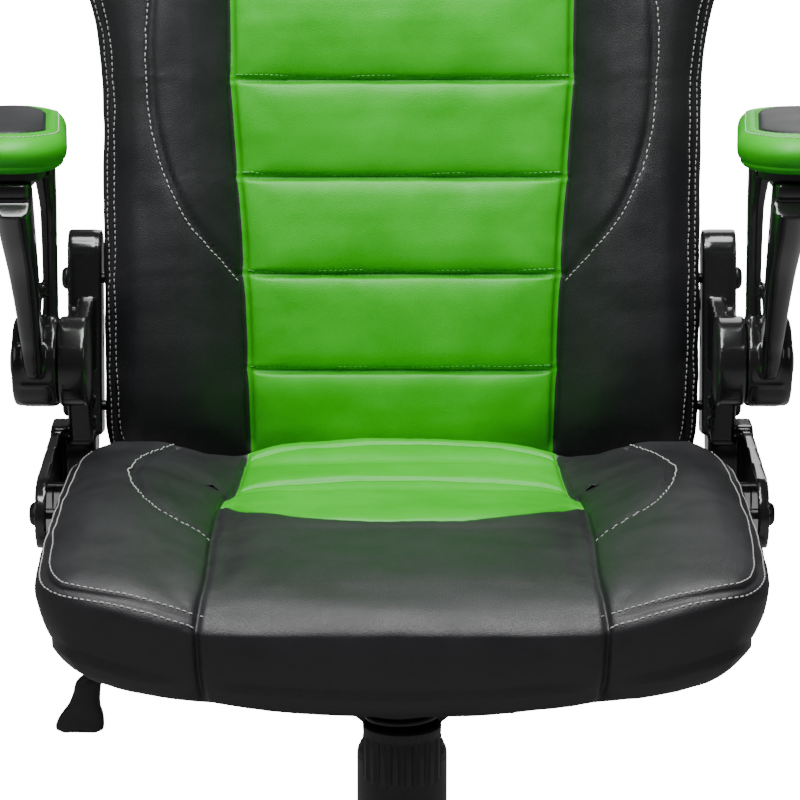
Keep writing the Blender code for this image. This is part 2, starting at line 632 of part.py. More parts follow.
makeBase()
makeCasters()
makeColumn()
makeMechanism()
makeLever()
makeSeat()
makeBack()
makeArmrest(-1, "right")     # sides as the sitter has them
makeArmrest(1, "left")

for piece in bpy.data.objects:
    piece.location.y -= columnToMiddle
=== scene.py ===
import json
from math import cos, hypot, pi, radians, sin, tan

import bmesh
import bpy
import numpy as np
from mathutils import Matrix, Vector
from mathutils.bvhtree import BVHTree
from mathutils.kdtree import KDTree


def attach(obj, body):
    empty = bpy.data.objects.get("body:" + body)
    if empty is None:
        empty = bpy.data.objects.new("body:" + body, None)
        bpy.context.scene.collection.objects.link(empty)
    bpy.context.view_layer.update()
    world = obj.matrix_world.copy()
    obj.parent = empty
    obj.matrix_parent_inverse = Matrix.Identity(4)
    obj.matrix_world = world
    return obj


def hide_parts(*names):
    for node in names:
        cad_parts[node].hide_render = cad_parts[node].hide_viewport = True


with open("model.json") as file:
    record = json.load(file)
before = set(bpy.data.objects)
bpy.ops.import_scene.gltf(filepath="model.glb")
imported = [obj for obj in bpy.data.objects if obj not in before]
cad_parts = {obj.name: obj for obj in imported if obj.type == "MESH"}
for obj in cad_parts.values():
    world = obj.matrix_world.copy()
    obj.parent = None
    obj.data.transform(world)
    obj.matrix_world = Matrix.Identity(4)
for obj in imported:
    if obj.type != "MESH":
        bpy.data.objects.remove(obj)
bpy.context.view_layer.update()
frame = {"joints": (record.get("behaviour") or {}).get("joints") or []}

joints = {joint["name"]: joint for joint in frame["joints"]}
columnY = joints["seat_swivel"]["pos_m"][1]   # the shapes below are drawn round the column's axis


# camera, floor and light

view = {"distance": 2.75, "height": 1.20, "down": 13.6, "lens": 175.5, "sideways": -0.0015}


def makeStage():
    camera = bpy.data.objects.new("camera", bpy.data.cameras.new("camera"))
    bpy.context.scene.collection.objects.link(camera)
    camera.location = (view["sideways"], columnY - view["distance"], view["height"])
    camera.rotation_euler = (radians(90 - view["down"]), 0, 0)
    camera.data.lens = view["lens"]
    camera.data.sensor_width = 36
    camera.data.clip_end = 100
    bpy.context.scene.camera = camera

    floor = bpy.data.objects.new("studio_floor", bpy.data.meshes.new("studio_floor"))
    floor.data.from_pydata([(-40, -40, 0), (40, -40, 0), (40, 40, 0), (-40, 40, 0)], [], [(0, 1, 2, 3)])
    bpy.context.scene.collection.objects.link(floor)
    paper = bpy.data.materials.new("studio paper")
    paper.use_nodes = True
    shader = paper.node_tree.nodes["Principled BSDF"]
    shader.inputs["Base Color"].default_value = (0.30, 0.30, 0.30, 1)
    shader.inputs["Roughness"].default_value = 0.9
    shader.inputs["Specular IOR Level"].default_value = 0.1
    shader.inputs["Emission Strength"].default_value = 1.0
    tree = paper.node_tree
    seen = tree.nodes.new("ShaderNodeLightPath").outputs["Is Camera Ray"]
    white = tree.nodes.new("ShaderNodeMix")
    white.data_type = "RGBA"
    tree.links.new(seen, white.inputs[0])
    white.inputs[6].default_value = (0.07, 0.07, 0.07, 1)
    white.inputs[7].default_value = (16, 16, 16, 1)
    tree.links.new(white.outputs[2], shader.inputs["Emission Color"])
    floor.data.materials.append(paper)

    world = bpy.data.worlds.new("studio")
    world.use_nodes = True
    world.node_tree.nodes["Background"].inputs["Color"].default_value = (1, 1, 1, 1)
    world.node_tree.nodes["Background"].inputs["Strength"].default_value = 0.085
    bpy.context.scene.world = world

    # name, place, height of its aim, size, power
    lamps = [("key", (-0.25, -0.75, 2.00), 1.25, 0.8, 25), ("fill", (2.0, -1.6, 1.9), 0.65, 1.3, 5),
             ("side", (-2.1, -1.2, 1.5), 0.65, 1.3, 5), ("top", (0.1, -0.1, 2.9), 0.65, 1.4, 62),
             ("rear", (0.4, 2.2, 1.9), 0.65, 1.6, 14)]
    for name, place, aim, size, power in lamps:
        lamp = bpy.data.objects.new(name, bpy.data.lights.new(name, "AREA"))
        lamp.data.shape = "DISK"
        lamp.data.size = size
        lamp.data.energy = power
        lamp.location = place
        lamp.rotation_euler = (Vector((0, 0, aim)) - Vector(place)).to_track_quat("-Z", "Y").to_euler()
        bpy.context.scene.collection.objects.link(lamp)


# curves through a few points, and lists of lines for the grids

# a curve through (x, y) points that never overshoots, flat beyond the ends
def smoothCurve(points):
    xs = np.array([p[0] for p in points], float)
    ys = np.array([p[1] for p in points], float)
    steps = np.diff(xs)
    slopes = np.diff(ys) / steps
    tangents = np.zeros_like(ys)
    for i in range(1, len(xs) - 1):
        if slopes[i - 1] * slopes[i] > 0:
            w1, w2 = 2 * steps[i] + steps[i - 1], steps[i] + 2 * steps[i - 1]
            tangents[i] = (w1 + w2) / (w1 / slopes[i - 1] + w2 / slopes[i])
    tangents[0], tangents[-1] = slopes[0], slopes[-1]

    def curve(x):
        x = np.clip(x, xs[0], xs[-1])
        i = np.clip(np.searchsorted(xs, x, side="right") - 1, 0, len(xs) - 2)
        t = (x - xs[i]) / steps[i]
        return ((2 * t ** 3 - 3 * t ** 2 + 1) * ys[i] + (t ** 3 - 2 * t ** 2 + t) * steps[i] * tangents[i]
                + (3 * t ** 2 - 2 * t ** 3) * ys[i + 1] + (t ** 3 - t ** 2) * steps[i] * tangents[i + 1])
    return curve


def ease(value, low, high):
    t = np.clip((value - low) / (high - low), 0, 1)
    return t * t * (3 - 2 * t)


# mesh builders: points are (x, y, z) round the column's axis, and each piece is told its body

def linkMesh(name, points, faces, body, replaces=(), slot=None, materials=(), smooth=True, recalc=True):
    mesh = bpy.data.meshes.new(name)
    points = np.asarray(points, float) + (0, columnY, 0)
    mesh.from_pydata(points.tolist(), [], [list(map(int, face)) for face in faces])
    if recalc:
        shape = bmesh.new()
        shape.from_mesh(mesh)
        bmesh.ops.recalc_face_normals(shape, faces=shape.faces)
        shape.to_mesh(mesh)
        shape.free()
    piece = bpy.data.objects.new(name, mesh)
    bpy.context.scene.collection.objects.link(piece)
    for material in materials:
        mesh.materials.append(material)
    if smooth:
        mesh.shade_smooth()
    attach(piece, body)
    if replaces:
        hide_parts(*replaces)
    return piece


# a cube's surface on the given grid lines: points and four-cornered faces
def blockGrid(across, along, deep):
    axes = [across, along, deep]
    points, faces = [], []
    for axis in range(3):
        first, second = [axes[i] for i in range(3) if i != axis]
        for end in (-1.0, 1.0):
            start = sum(len(p) for p in points)
            u, v = np.meshgrid(first, second, indexing="ij")
            flat = np.full(u.size, end)
            columns = [u.ravel(), v.ravel()]
            columns.insert(axis, flat)
            points.append(np.stack(columns, 1))
            i, j = np.meshgrid(np.arange(len(first) - 1), np.arange(len(second) - 1), indexing="ij")
            corner = (start + i * len(second) + j).ravel()
            quad = np.stack([corner, corner + len(second), corner + len(second) + 1, corner + 1], 1)
            faces.append(quad if (end > 0) == (axis != 1) else quad[:, ::-1])
    points, faces = np.concatenate(points), np.concatenate(faces)
    _, keep, index = np.unique(np.round(points, 7), axis=0, return_index=True, return_inverse=True)
    return points[keep], index.reshape(-1)[faces]


# a smooth curve through the points, at about even steps
def densePath(points, step=0.002):
    points = np.array(points, float)
    lengths = np.concatenate([[0], np.cumsum(np.sqrt((np.diff(points, axis=0) ** 2).sum(1)))])
    t = np.linspace(0, lengths[-1], max(8, int(lengths[-1] / step)))
    result = []
    for column in range(points.shape[1]):
        values = points[:, column]
        tangents = np.gradient(values, lengths)
        i = np.clip(np.searchsorted(lengths, t, side="right") - 1, 0, len(lengths) - 2)
        h = lengths[i + 1] - lengths[i]
        s = (t - lengths[i]) / h
        result.append((2 * s ** 3 - 3 * s ** 2 + 1) * values[i] + (s ** 3 - 2 * s ** 2 + s) * h
                      * tangents[i]
                      + (3 * s ** 2 - 2 * s ** 3) * values[i + 1] + (s ** 3 - s ** 2) * h * tangents[i + 1])
    return np.stack(result, 1)


# a finished surface that seams and stitches are laid on
class Skin:
    def __init__(self, *pieces):
        corners, polygons = [], []
        for piece in pieces:
            start = len(corners)
            corners += [vertex.co.copy() for vertex in piece.data.vertices]
            polygons += [[start + i for i in polygon.vertices] for polygon in piece.data.polygons]
        self.tree = BVHTree.FromPolygons(corners, polygons)

    def lay(self, path, lift=0.0):
        spots, normals = [], []
        for point in path:
            spot, normal, _, _ = self.tree.find_nearest(Vector(point) + Vector((0, columnY, 0)))
            spots.append(np.array(spot) - (0, columnY, 0) + np.array(normal) * lift)
            normals.append(np.array(normal))
        return np.array(spots), np.array(normals)


# the path's points again at even distances
def evenSteps(path, step):
    path = np.asarray(path, float)
    lengths = np.concatenate([[0], np.cumsum(np.sqrt((np.diff(path, axis=0) ** 2).sum(1)))])
    count = max(2, int(round(lengths[-1] / step)) + 1)
    t = np.linspace(0, lengths[-1], count)
    return np.stack([np.interp(t, lengths, path[:, i]) for i in range(3)], 1)


def sewRow(name, skin, paths, body, slot, material, pitch=0.0046, length=0.0034, thick=0.00052,
           lift=0.0001):
    points, faces = [], []
    for path in paths:
        spots, normals = skin.lay(evenSteps(path, pitch), lift)
        for spot, normal, ahead in zip(spots, normals, np.gradient(spots, axis=0)):
            forward = ahead / (np.linalg.norm(ahead) + 1e-9)
            side = np.cross(normal, forward)
            start = len(points)
            for along, swell, rise in ((-0.5, 0.35, -0.9), (-0.36, 0.9, 0.2), (0, 1.0, 0.6),
                                       (0.36, 0.9, 0.2), (0.5, 0.35, -0.9)):
                for k in range(6):
                    turn = 2 * pi * k / 6
                    points.append(spot + forward * along * length + side * thick * swell * cos(turn)
                                  + normal * thick * (swell * sin(turn) * 0.8 + rise))
            for ring in range(4):
                for k in range(6):
                    j = (k + 1) % 6
                    low, high = start + ring * 6, start + ring * 6 + 6
                    faces.append((low + k, low + j, high + j, high + k))
            faces.append(tuple(start + k for k in range(5, -1, -1)))
            faces.append(tuple(start + 24 + k for k in range(6)))
    return linkMesh(name, points, faces, body, (), slot, [material], recalc=False)


def pipe(name, path, radius, body, slot, sides=10, closed=False, flat=1.0, normals=None):
    path = np.asarray(path, float)
    count = len(path)
    ahead = (np.roll(path, -1, 0) - np.roll(path, 1, 0)) if closed else np.gradient(path, axis=0)
    points, faces = [], []
    side = None
    for i in range(count):
        forward = ahead[i] / (np.linalg.norm(ahead[i]) + 1e-12)
        if normals is not None:
            up = normals[i]
            side = np.cross(up, forward)
        elif side is None:
            side = np.cross(forward, (0.3, 0.2, 1) if abs(forward[2]) < 0.9 else (1, 0, 0))
        side = side - forward * side.dot(forward)
        side /= np.linalg.norm(side)
        up = np.cross(forward, side)
        width = radius[i] if hasattr(radius, "__len__") else radius
        points += [path[i] + width * (cos(a) * side + flat * sin(a) * up)
                   for a in [2 * pi * k / sides for k in range(sides)]]
    for i in range(count if closed else count - 1):
        low, high = i * sides, ((i + 1) % count) * sides
        faces += [(low + k, low + (k + 1) % sides, high + (k + 1) % sides, high + k) for k in range(sides)]
    if not closed:
        faces.append(tuple(range(sides)))
        faces.append(tuple(range((count - 1) * sides, count * sides)))
    return linkMesh(name, points, faces, body, (), slot, [looks[slot]])


# plain solids for moulded and metal pieces, as (points, faces)

def turned(profile, axis="Z", centre=(0, 0, 0), sides=72):
    points, faces = [], []
    count = len(profile)
    for i in range(sides):
        angle = 2 * pi * i / sides
        for radius, height in profile:
            a, b = max(radius, 1e-5) * cos(angle), max(radius, 1e-5) * sin(angle)
            x, y, z = {"Z": (a, b, height), "X": (height, a, b), "Y": (b, height, a)}[axis]
            points.append((x + centre[0], y + centre[1], z + centre[2]))
    for i in range(sides):
        j = (i + 1) % sides
        faces += [(i * count + k, j * count + k, j * count + k + 1, i * count + k + 1)
                  for k in range(count - 1)]
    faces.append([i * count for i in range(sides)])
    faces.append([i * count + count - 1 for i in range(sides)])
    return points, faces


# a hollow one: the profile runs all the way round its own wall
def turnedRing(profile, axis="Z", centre=(0, 0, 0), sides=72):
    points, faces = turned(list(profile), axis, centre, sides)
    count = len(profile)
    faces = faces[:-2]
    faces += [(i * count + count - 1, (i + 1) % sides * count + count - 1, (i + 1) % sides * count,
               i * count)
              for i in range(sides)]
    return points, faces


def lofted(rings):
    count = len(rings[0])
    points = [point for ring in rings for point in ring]
    faces = [(r * count + i, r * count + (i + 1) % count, (r + 1) * count + (i + 1) % count,
              (r + 1) * count + i)
             for r in range(len(rings) - 1) for i in range(count)]
    faces.append(list(range(count)))
    faces.append([(len(rings) - 1) * count + i for i in range(count)])
    return points, faces


def extruded(outline, low, high, axis="X"):
    place = {"X": lambda a, b, h: (h, a, b), "Y": lambda a, b, h: (a, h, b), "Z": lambda a, b,
             h: (a, b, h)}[axis]
    return lofted([[place(a, b, h) for a, b in outline] for h in (low, high)])


def bar(start, end, startRadius, endRadius, steps=20):
    dx, dy = end[0] - start[0], end[1] - start[1]
    length = hypot(dx, dy)
    ux, uy = dx / length, dy / length
    outline = []
    for centre, radius, first in ((end, endRadius, -pi / 2), (start, startRadius, pi / 2)):
        for i in range(steps + 1):
            angle = first + pi * i / steps
            outline.append((centre[0] + radius * (cos(angle) * ux - sin(angle) * uy),
                            centre[1] + radius * (cos(angle) * uy + sin(angle) * ux)))
    return outline


# an outline's corners rounded off
def box(left, low, right, high):
    return [(left, low), (right, low), (right, high), (left, high)]


def rounded(outline, radius, steps=8):
    result = []
    for i, corner in enumerate(outline):
        before, after = outline[i - 1], outline[(i + 1) % len(outline)]
        there = Vector((before[0] - corner[0], before[1] - corner[1]))
        onward = Vector((after[0] - corner[0], after[1] - corner[1]))
        reach = min(radius, there.length * 0.45, onward.length * 0.45)
        first, last = there.normalized() * reach, onward.normalized() * reach
        for k in range(steps + 1):
            t = k / steps
            result.append((corner[0] + first.x * (1 - t) ** 2 + last.x * t * t,
                           corner[1] + first.y * (1 - t) ** 2 + last.y * t * t))
    return result


def mirrored(solid):
    points, faces = solid
    return [(-x, y, z) for x, y, z in points], faces


def joined(solids):
    points, faces = [], []
    for morePoints, moreFaces in solids:
        start = len(points)
        points += [tuple(p) for p in morePoints]
        faces += [[start + i for i in face] for face in moreFaces]
    return points, faces


# melts solids that run into each other into one casting with softened edges, then cuts holes
def fuse(name, solids, body, replaces, slot, voxel=0.0014, rounds=5, cuts=()):
    shape = linkMesh(name, *joined(solids), body, replaces, slot, [looks[slot]])
    helpers = []
    melt = shape.modifiers.new("melt", "REMESH")
    melt.mode = "VOXEL"
    melt.voxel_size = voxel
    soften = shape.modifiers.new("soften", "SMOOTH")
    soften.factor = 0.5
    soften.iterations = rounds
    for cut in cuts:
        points, faces = cut
        helper = bpy.data.objects.new("cut", bpy.data.meshes.new("cut"))
        helper.data.from_pydata([(x, y + columnY, z) for x, y, z in points], [], faces)
        bpy.context.scene.collection.objects.link(helper)
        clean = bmesh.new()
        clean.from_mesh(helper.data)
        bmesh.ops.recalc_face_normals(clean, faces=clean.faces)
        clean.to_mesh(helper.data)
        clean.free()
        hole = shape.modifiers.new("hole", "BOOLEAN")
        hole.operation = "DIFFERENCE"
        hole.solver = "FAST"
        hole.object = helper
        helpers.append(helper)
    bpy.context.view_layer.update()
    made = bpy.data.meshes.new_from_object(shape.evaluated_get(bpy.context.evaluated_depsgraph_get()))
    shape.modifiers.clear()
    shape.data = made
    made.shade_smooth()
    made.set_sharp_from_angle(angle=radians(40))
    if not made.materials:
        made.materials.append(looks[slot])
    for helper in helpers:
        bpy.data.objects.remove(helper)
    return shape


def solidPiece(name, solid, body, replaces, slot, angle=35):
    shape = linkMesh(name, *solid, body, replaces, slot, [looks[slot]])
    shape.data.set_sharp_from_angle(angle=radians(angle))
    return shape


# shared effects

def newGroup(name, inputs, outputs):
    group = bpy.data.node_groups.new(name, "ShaderNodeTree")
    for label, kind, value in inputs:
        socket = group.interface.new_socket(label, in_out="INPUT", socket_type=kind)
        socket.default_value = value
    for label, kind in outputs:
        group.interface.new_socket(label, in_out="OUTPUT", socket_type=kind)
    return group, group.nodes.new("NodeGroupInput"), group.nodes.new("NodeGroupOutput")


def addNode(tree, kind, links=(), **values):
    node = tree.nodes.new("ShaderNode" + kind)
    for key, value in values.items():
        if key.startswith("in_"):
            node.inputs[key[3:].replace("_", " ")].default_value = value
        else:
            setattr(node, key, value)
    for socket, source in dict(links).items():
        tree.links.new(source, node.inputs[socket])
    return node


def ramp(tree, source, low, high, first=0.0, last=1.0):
    node = addNode(tree, "MapRange", {"Value": source}, in_From_Min=low, in_From_Max=high)
    node.inputs["To Min"].default_value = first
    node.inputs["To Max"].default_value = last
    return node.outputs["Result"]


# pebbled hide or plastic: a height, and slow patches for colour and sheen
def grainGroup():
    group, inside, outside = newGroup("grain", [("Scale", "NodeSocketFloat", 900.0),
                                                ("Patch Scale", "NodeSocketFloat", 14.0)],
                                      [("Height", "NodeSocketFloat"), ("Patches", "NodeSocketFloat"),
                                       ("Pores", "NodeSocketFloat")])
    place = addNode(group, "TexCoord").outputs["Object"]
    wobble = addNode(group, "TexNoise", {"Vector": place}, in_Scale=260.0, in_Detail=3.0)
    shifted = addNode(group, "VectorMath", {0: place}, operation="ADD")
    little = addNode(group, "VectorMath", {0: wobble.outputs["Color"]}, operation="SCALE")
    little.inputs["Scale"].default_value = 0.0011
    group.links.new(little.outputs[0], shifted.inputs[1])
    cells = addNode(group, "TexVoronoi", {"Vector": shifted.outputs[0], "Scale": inside.outputs["Scale"]},
                    feature="DISTANCE_TO_EDGE")
    bumps = ramp(group, cells.outputs["Distance"], 0.0, 0.22)
    fine = addNode(group, "TexNoise", {"Vector": place}, in_Scale=1500.0, in_Detail=4.0)
    both = addNode(group, "Math", {0: bumps, 1: fine.outputs["Fac"]}, operation="MULTIPLY_ADD")
    both.inputs[1].default_value = 0.8
    group.links.new(bumps, both.inputs[0])
    group.links.new(fine.outputs["Fac"], both.inputs[2])
    patches = addNode(group, "TexNoise", {"Vector": place, "Scale": inside.outputs["Patch Scale"]},
                      in_Detail=6.0, in_Roughness=0.6)
    group.links.new(both.outputs[0], outside.inputs["Height"])
    group.links.new(patches.outputs["Fac"], outside.inputs["Patches"])
    group.links.new(bumps, outside.inputs["Pores"])
    return group


# light rubbing on the outward edges, broken up by noise
def wearGroup():
    group, inside, outside = newGroup("edge wear", [("Amount", "NodeSocketFloat", 0.5)],
                                      [("Worn", "NodeSocketFloat")])
    edge = ramp(group, addNode(group, "NewGeometry").outputs["Pointiness"], 0.53, 0.62)
    place = addNode(group, "TexCoord").outputs["Object"]
    noise = addNode(group, "TexNoise", {"Vector": place}, in_Scale=90.0, in_Detail=6.0)
    broken = ramp(group, noise.outputs["Fac"], 0.42, 0.66)
    worn = addNode(group, "Math", {0: edge, 1: broken}, operation="MULTIPLY")
    amount = addNode(group, "Math", {0: worn.outputs[0], 1: inside.outputs["Amount"]}, operation="MULTIPLY",
                     use_clamp=True)
    group.links.new(amount.outputs[0], outside.inputs["Worn"])
    return group


# fine dust on what faces up
def dustGroup():
    group, inside, outside = newGroup("dust", [("Amount", "NodeSocketFloat", 0.3)],
                                      [("Dust", "NodeSocketFloat")])
    split = addNode(group, "SeparateXYZ", {"Vector": addNode(group, "NewGeometry").outputs["Normal"]})
    up = ramp(group, split.outputs["Z"], 0.2, 1.0)
    place = addNode(group, "TexCoord").outputs["Object"]
    noise = addNode(group, "TexNoise", {"Vector": place}, in_Scale=35.0, in_Detail=8.0, in_Roughness=0.7)
    specks = ramp(group, noise.outputs["Fac"], 0.35, 0.75)
    both = addNode(group, "Math", {0: up, 1: specks}, operation="MULTIPLY")
    amount = addNode(group, "Math", {0: both.outputs[0], 1: inside.outputs["Amount"]}, operation="MULTIPLY",
                     use_clamp=True)
    group.links.new(amount.outputs[0], outside.inputs["Dust"])
    return group


# streaks one way, for brushed metal, wood and rubbed paint
def streakGroup():
    group, inside, outside = newGroup("streaks", [("Stretch", "NodeSocketVector", (40.0, 40.0, 900.0))],
                                      [("Streaks", "NodeSocketFloat")])
    place = addNode(group, "TexCoord").outputs["Object"]
    stretched = addNode(group, "VectorMath", {0: place, 1: inside.outputs["Stretch"]}, operation="MULTIPLY")
    noise = addNode(group, "TexNoise", {"Vector": stretched.outputs[0]}, in_Scale=1.0, in_Detail=5.0)
    group.links.new(noise.outputs["Fac"], outside.inputs["Streaks"])
    return group


groups = {}


def useGroup(tree, name, **values):
    node = tree.nodes.new("ShaderNodeGroup")
    node.node_tree = groups[name]
    for key, value in values.items():
        node.inputs[key.replace("_", " ")].default_value = value
    return node


def blank(name, **values):
    material = bpy.data.materials.new(name)
    material.use_nodes = True
    tree = material.node_tree
    shader = tree.nodes["Principled BSDF"]
    for key, value in values.items():
        shader.inputs[key.replace("_", " ")].default_value = value
    return material, tree, shader


def mixed(tree, amount, first, second):
    node = tree.nodes.new("ShaderNodeMix")
    node.data_type = "RGBA"
    tree.links.new(amount, node.inputs[0])
    for place, colour in ((6, first), (7, second)):
        if hasattr(colour, "links"):
            tree.links.new(colour, node.inputs[place])
        else:
            node.inputs[place].default_value = (*colour, 1)
    return node.outputs[2]


def bumped(tree, shader, height, strength, distance):
    node = addNode(tree, "Bump", {"Height": height}, in_Strength=strength, in_Distance=distance)
    tree.links.new(node.outputs["Normal"], shader.inputs["Normal"])


# a surface with grain, patches, wear and dust, all from one row of settings
def surface(name, dark, light, rough, roughSpread=0.1, scale=900.0, patch=14.0, strength=0.35, depth=0.0004,
            worn=None, wear=0.0, dust=0.0, metallic=0.0, coat=0.0, specular=0.5, streaks=None):
    material, tree, shader = blank(name, Metallic=metallic, Coat_Weight=coat, Specular_IOR_Level=specular)
    shader.inputs["Coat Roughness"].default_value = 0.12
    grain = useGroup(tree, "grain", Scale=scale, Patch_Scale=patch)
    patches = ramp(tree, grain.outputs["Patches"], 0.3, 0.7)
    colour = mixed(tree, patches, dark, light)
    height = grain.outputs["Height"]
    if streaks:
        lined = useGroup(tree, "streaks", Stretch=streaks)
        height = lined.outputs["Streaks"]
        colour = mixed(tree, ramp(tree, height, 0.35, 0.65), colour, light)
    if wear:
        colour = mixed(tree, useGroup(tree, "edge wear", Amount=wear).outputs["Worn"], colour, worn
                       or light)
    if dust:
        colour = mixed(tree, useGroup(tree, "dust", Amount=dust).outputs["Dust"], colour,
                       (0.22, 0.21, 0.20))
    tree.links.new(colour, shader.inputs["Base Color"])
    tree.links.new(ramp(tree, grain.outputs["Patches"], 0.3, 0.7, rough - roughSpread, rough + roughSpread),
                   shader.inputs["Roughness"])
    bumped(tree, shader, height, strength, depth)
    return material


looks = {}


def makeLooks():
    groups.update({"grain": grainGroup(), "edge wear": wearGroup(), "dust": dustGroup(),
                   "streaks": streakGroup()})
    looks["black_leather"] = surface("black leather", (0.0085, 0.0085, 0.0105), (0.016, 0.016, 0.019), 0.50,
                                     0.06, 620, 16, 0.36, 0.00040,
                                    (0.045, 0.045, 0.048), 0.35, 0.03, specular=0.56)
    looks["green_leather"] = surface("green leather", (0.024, 0.430, 0.007), (0.040, 0.530, 0.015), 0.42,
                                     0.06, 620, 16, 0.28, 0.00035,
                                    (0.10, 0.50, 0.08), 0.25, 0.0, specular=0.4)
    looks["paleThread"] = surface("pale thread", (0.42, 0.43, 0.42), (0.60, 0.60, 0.58), 0.70, 0.08, 4200,
                                  60, 0.5, 0.0002)
    looks["greenThread"] = surface("green thread", (0.10, 0.52, 0.08), (0.22, 0.66, 0.18), 0.60, 0.08, 4200,
                                   60, 0.5, 0.0002)
    looks["linerCloth"] = surface("black liner", (0.008, 0.008, 0.009), (0.016, 0.016, 0.017), 0.85, 0.05,
                                  1500, 30, 0.6, 0.0006, dust=0.05)
    looks["gloss_black"] = surface("gloss black", (0.008, 0.008, 0.009), (0.013, 0.013, 0.014), 0.17, 0.05,
                                   260, 10, 0.05, 0.0004,
                                  (0.05, 0.05, 0.052), 0.30, 0.05, coat=0.5)
    looks["matte_black"] = surface("matte black plastic", (0.014, 0.014, 0.014), (0.024, 0.024, 0.024),
                                   0.52, 0.07, 1400, 20, 0.30, 0.0003,
                                    (0.06, 0.06, 0.06), 0.45, 0.05)
    looks["nylon_black"] = surface("black nylon", (0.012, 0.012, 0.013), (0.021, 0.021, 0.022), 0.44, 0.08,
                                   1100, 12, 0.28, 0.0003,
                             (0.055, 0.055, 0.057), 0.40, 0.10)
    looks["tread"] = surface("wheel tread", (0.010, 0.010, 0.010), (0.030, 0.029, 0.028), 0.62, 0.10, 800,
                             40, 0.35, 0.0004,
                             (0.10, 0.095, 0.09), 0.6, 0.08)
    looks["black_paint"] = surface("black painted steel", (0.014, 0.014, 0.015), (0.023, 0.023, 0.024),
                                   0.38, 0.07, 1800, 18, 0.25, 0.0003,
                                  (0.10, 0.10, 0.10), 0.45, 0.08, metallic=0.1)
    looks["black_steel"] = surface("black steel", (0.030, 0.030, 0.032), (0.060, 0.060, 0.063), 0.34, 0.08,
                                   900, 40, 0.15, 0.0003,
                                  (0.35, 0.35, 0.36), 0.5, 0.04, metallic=0.9)
    looks["bright_steel"] = surface("bright steel", (0.52, 0.53, 0.54), (0.66, 0.67, 0.68), 0.22, 0.07, 900,
                                    40, 0.12, 0.0002,
                                   metallic=1.0, streaks=(60.0, 60.0, 2600.0))
    looks["plywood"] = surface("plywood", (0.36, 0.23, 0.12), (0.55, 0.39, 0.23), 0.68, 0.06, 700, 8, 0.3,
                               0.0004,
                               streaks=(9.0, 420.0, 420.0))
    print("materials made")


# padded pieces

# grid lines that crowd together beside the seams
def seamLines(low, high, seams, coarse, fine, reach):
    stops = sorted({low, high, *[s + d for s in seams for d in (-reach, 0, reach) if low < s + d < high]})
    values = []
    for start, end in zip(stops, stops[1:]):
        near = any(abs(stop - s) < 1e-9 for stop in (start, end) for s in seams)
        count = max(1, int(np.ceil((end - start) / (fine if near else coarse))))
        values += [start + (end - start) * i / count for i in range(count)]
    return np.array(values + [high])


# moves the inner grid line onto the seam, and spreads the rest evenly
def splitAt(a, share):
    size = np.abs(a)
    inner = size / 0.5 * share
    outer = share + (size - 0.5) / 0.5 * (1 - share)
    return np.sign(a) * np.where(size < 0.5, inner, outer)


def normalsOf(points, faces):
    faces = np.asarray(faces)
    cross = np.cross(points[faces[:, 2]] - points[faces[:, 0]], points[faces[:, 3]] - points[faces[:, 1]])
    normals = np.zeros_like(points)
    for corner in range(4):
        np.add.at(normals, faces[:, corner], cross)
    normals /= np.linalg.norm(normals, axis=1)[:, None] + 1e-12
    middle = points.mean(0)
    if ((points - middle) * normals).sum() < 0:
        normals = -normals
    return normals


# distance to a path, and how far along it the nearest point is
def alongPath(points, path):
    best, where = np.full(len(points), 9.0), np.zeros(len(points))
    lengths = np.concatenate([[0], np.cumsum(np.linalg.norm(np.diff(path, axis=0), axis=1))])
    for i in range(0, len(path), 48):
        distance = np.linalg.norm(points[:, None, :] - path[None, i:i + 48], axis=2)
        nearest = distance.argmin(1)
        value = distance[np.arange(len(points)), nearest]
        closer = value < best
        best[closer] = value[closer]
        where[closer] = lengths[i + nearest[closer]]
    return best, where


# pulls the cover in along its seams, with small gathers beside them
def sewIn(points, normals, seams, rng):
    moved = np.zeros(len(points))
    for path, deep, wide, soft, reach, gather in seams:
        path = evenSteps(path, 0.0015)
        distance, along = alongPath(points, path)
        pull = deep * np.exp(-(distance / wide) ** 2) + soft * np.exp(-distance / reach)
        first, second = rng.uniform(0, 6.28, 2)
        folds = np.sin(along / 0.0017 + 2.2 * np.sin(along / 0.011 + first)) * (0.6 + 0.4
                * np.sin(along / 0.023 + second))
        pull += gather * folds * np.exp(-((distance - 0.006) / 0.0045) ** 2)
        moved = np.maximum(moved, pull) + 0.25 * np.minimum(moved, pull)
    return points - normals * moved[:, None]


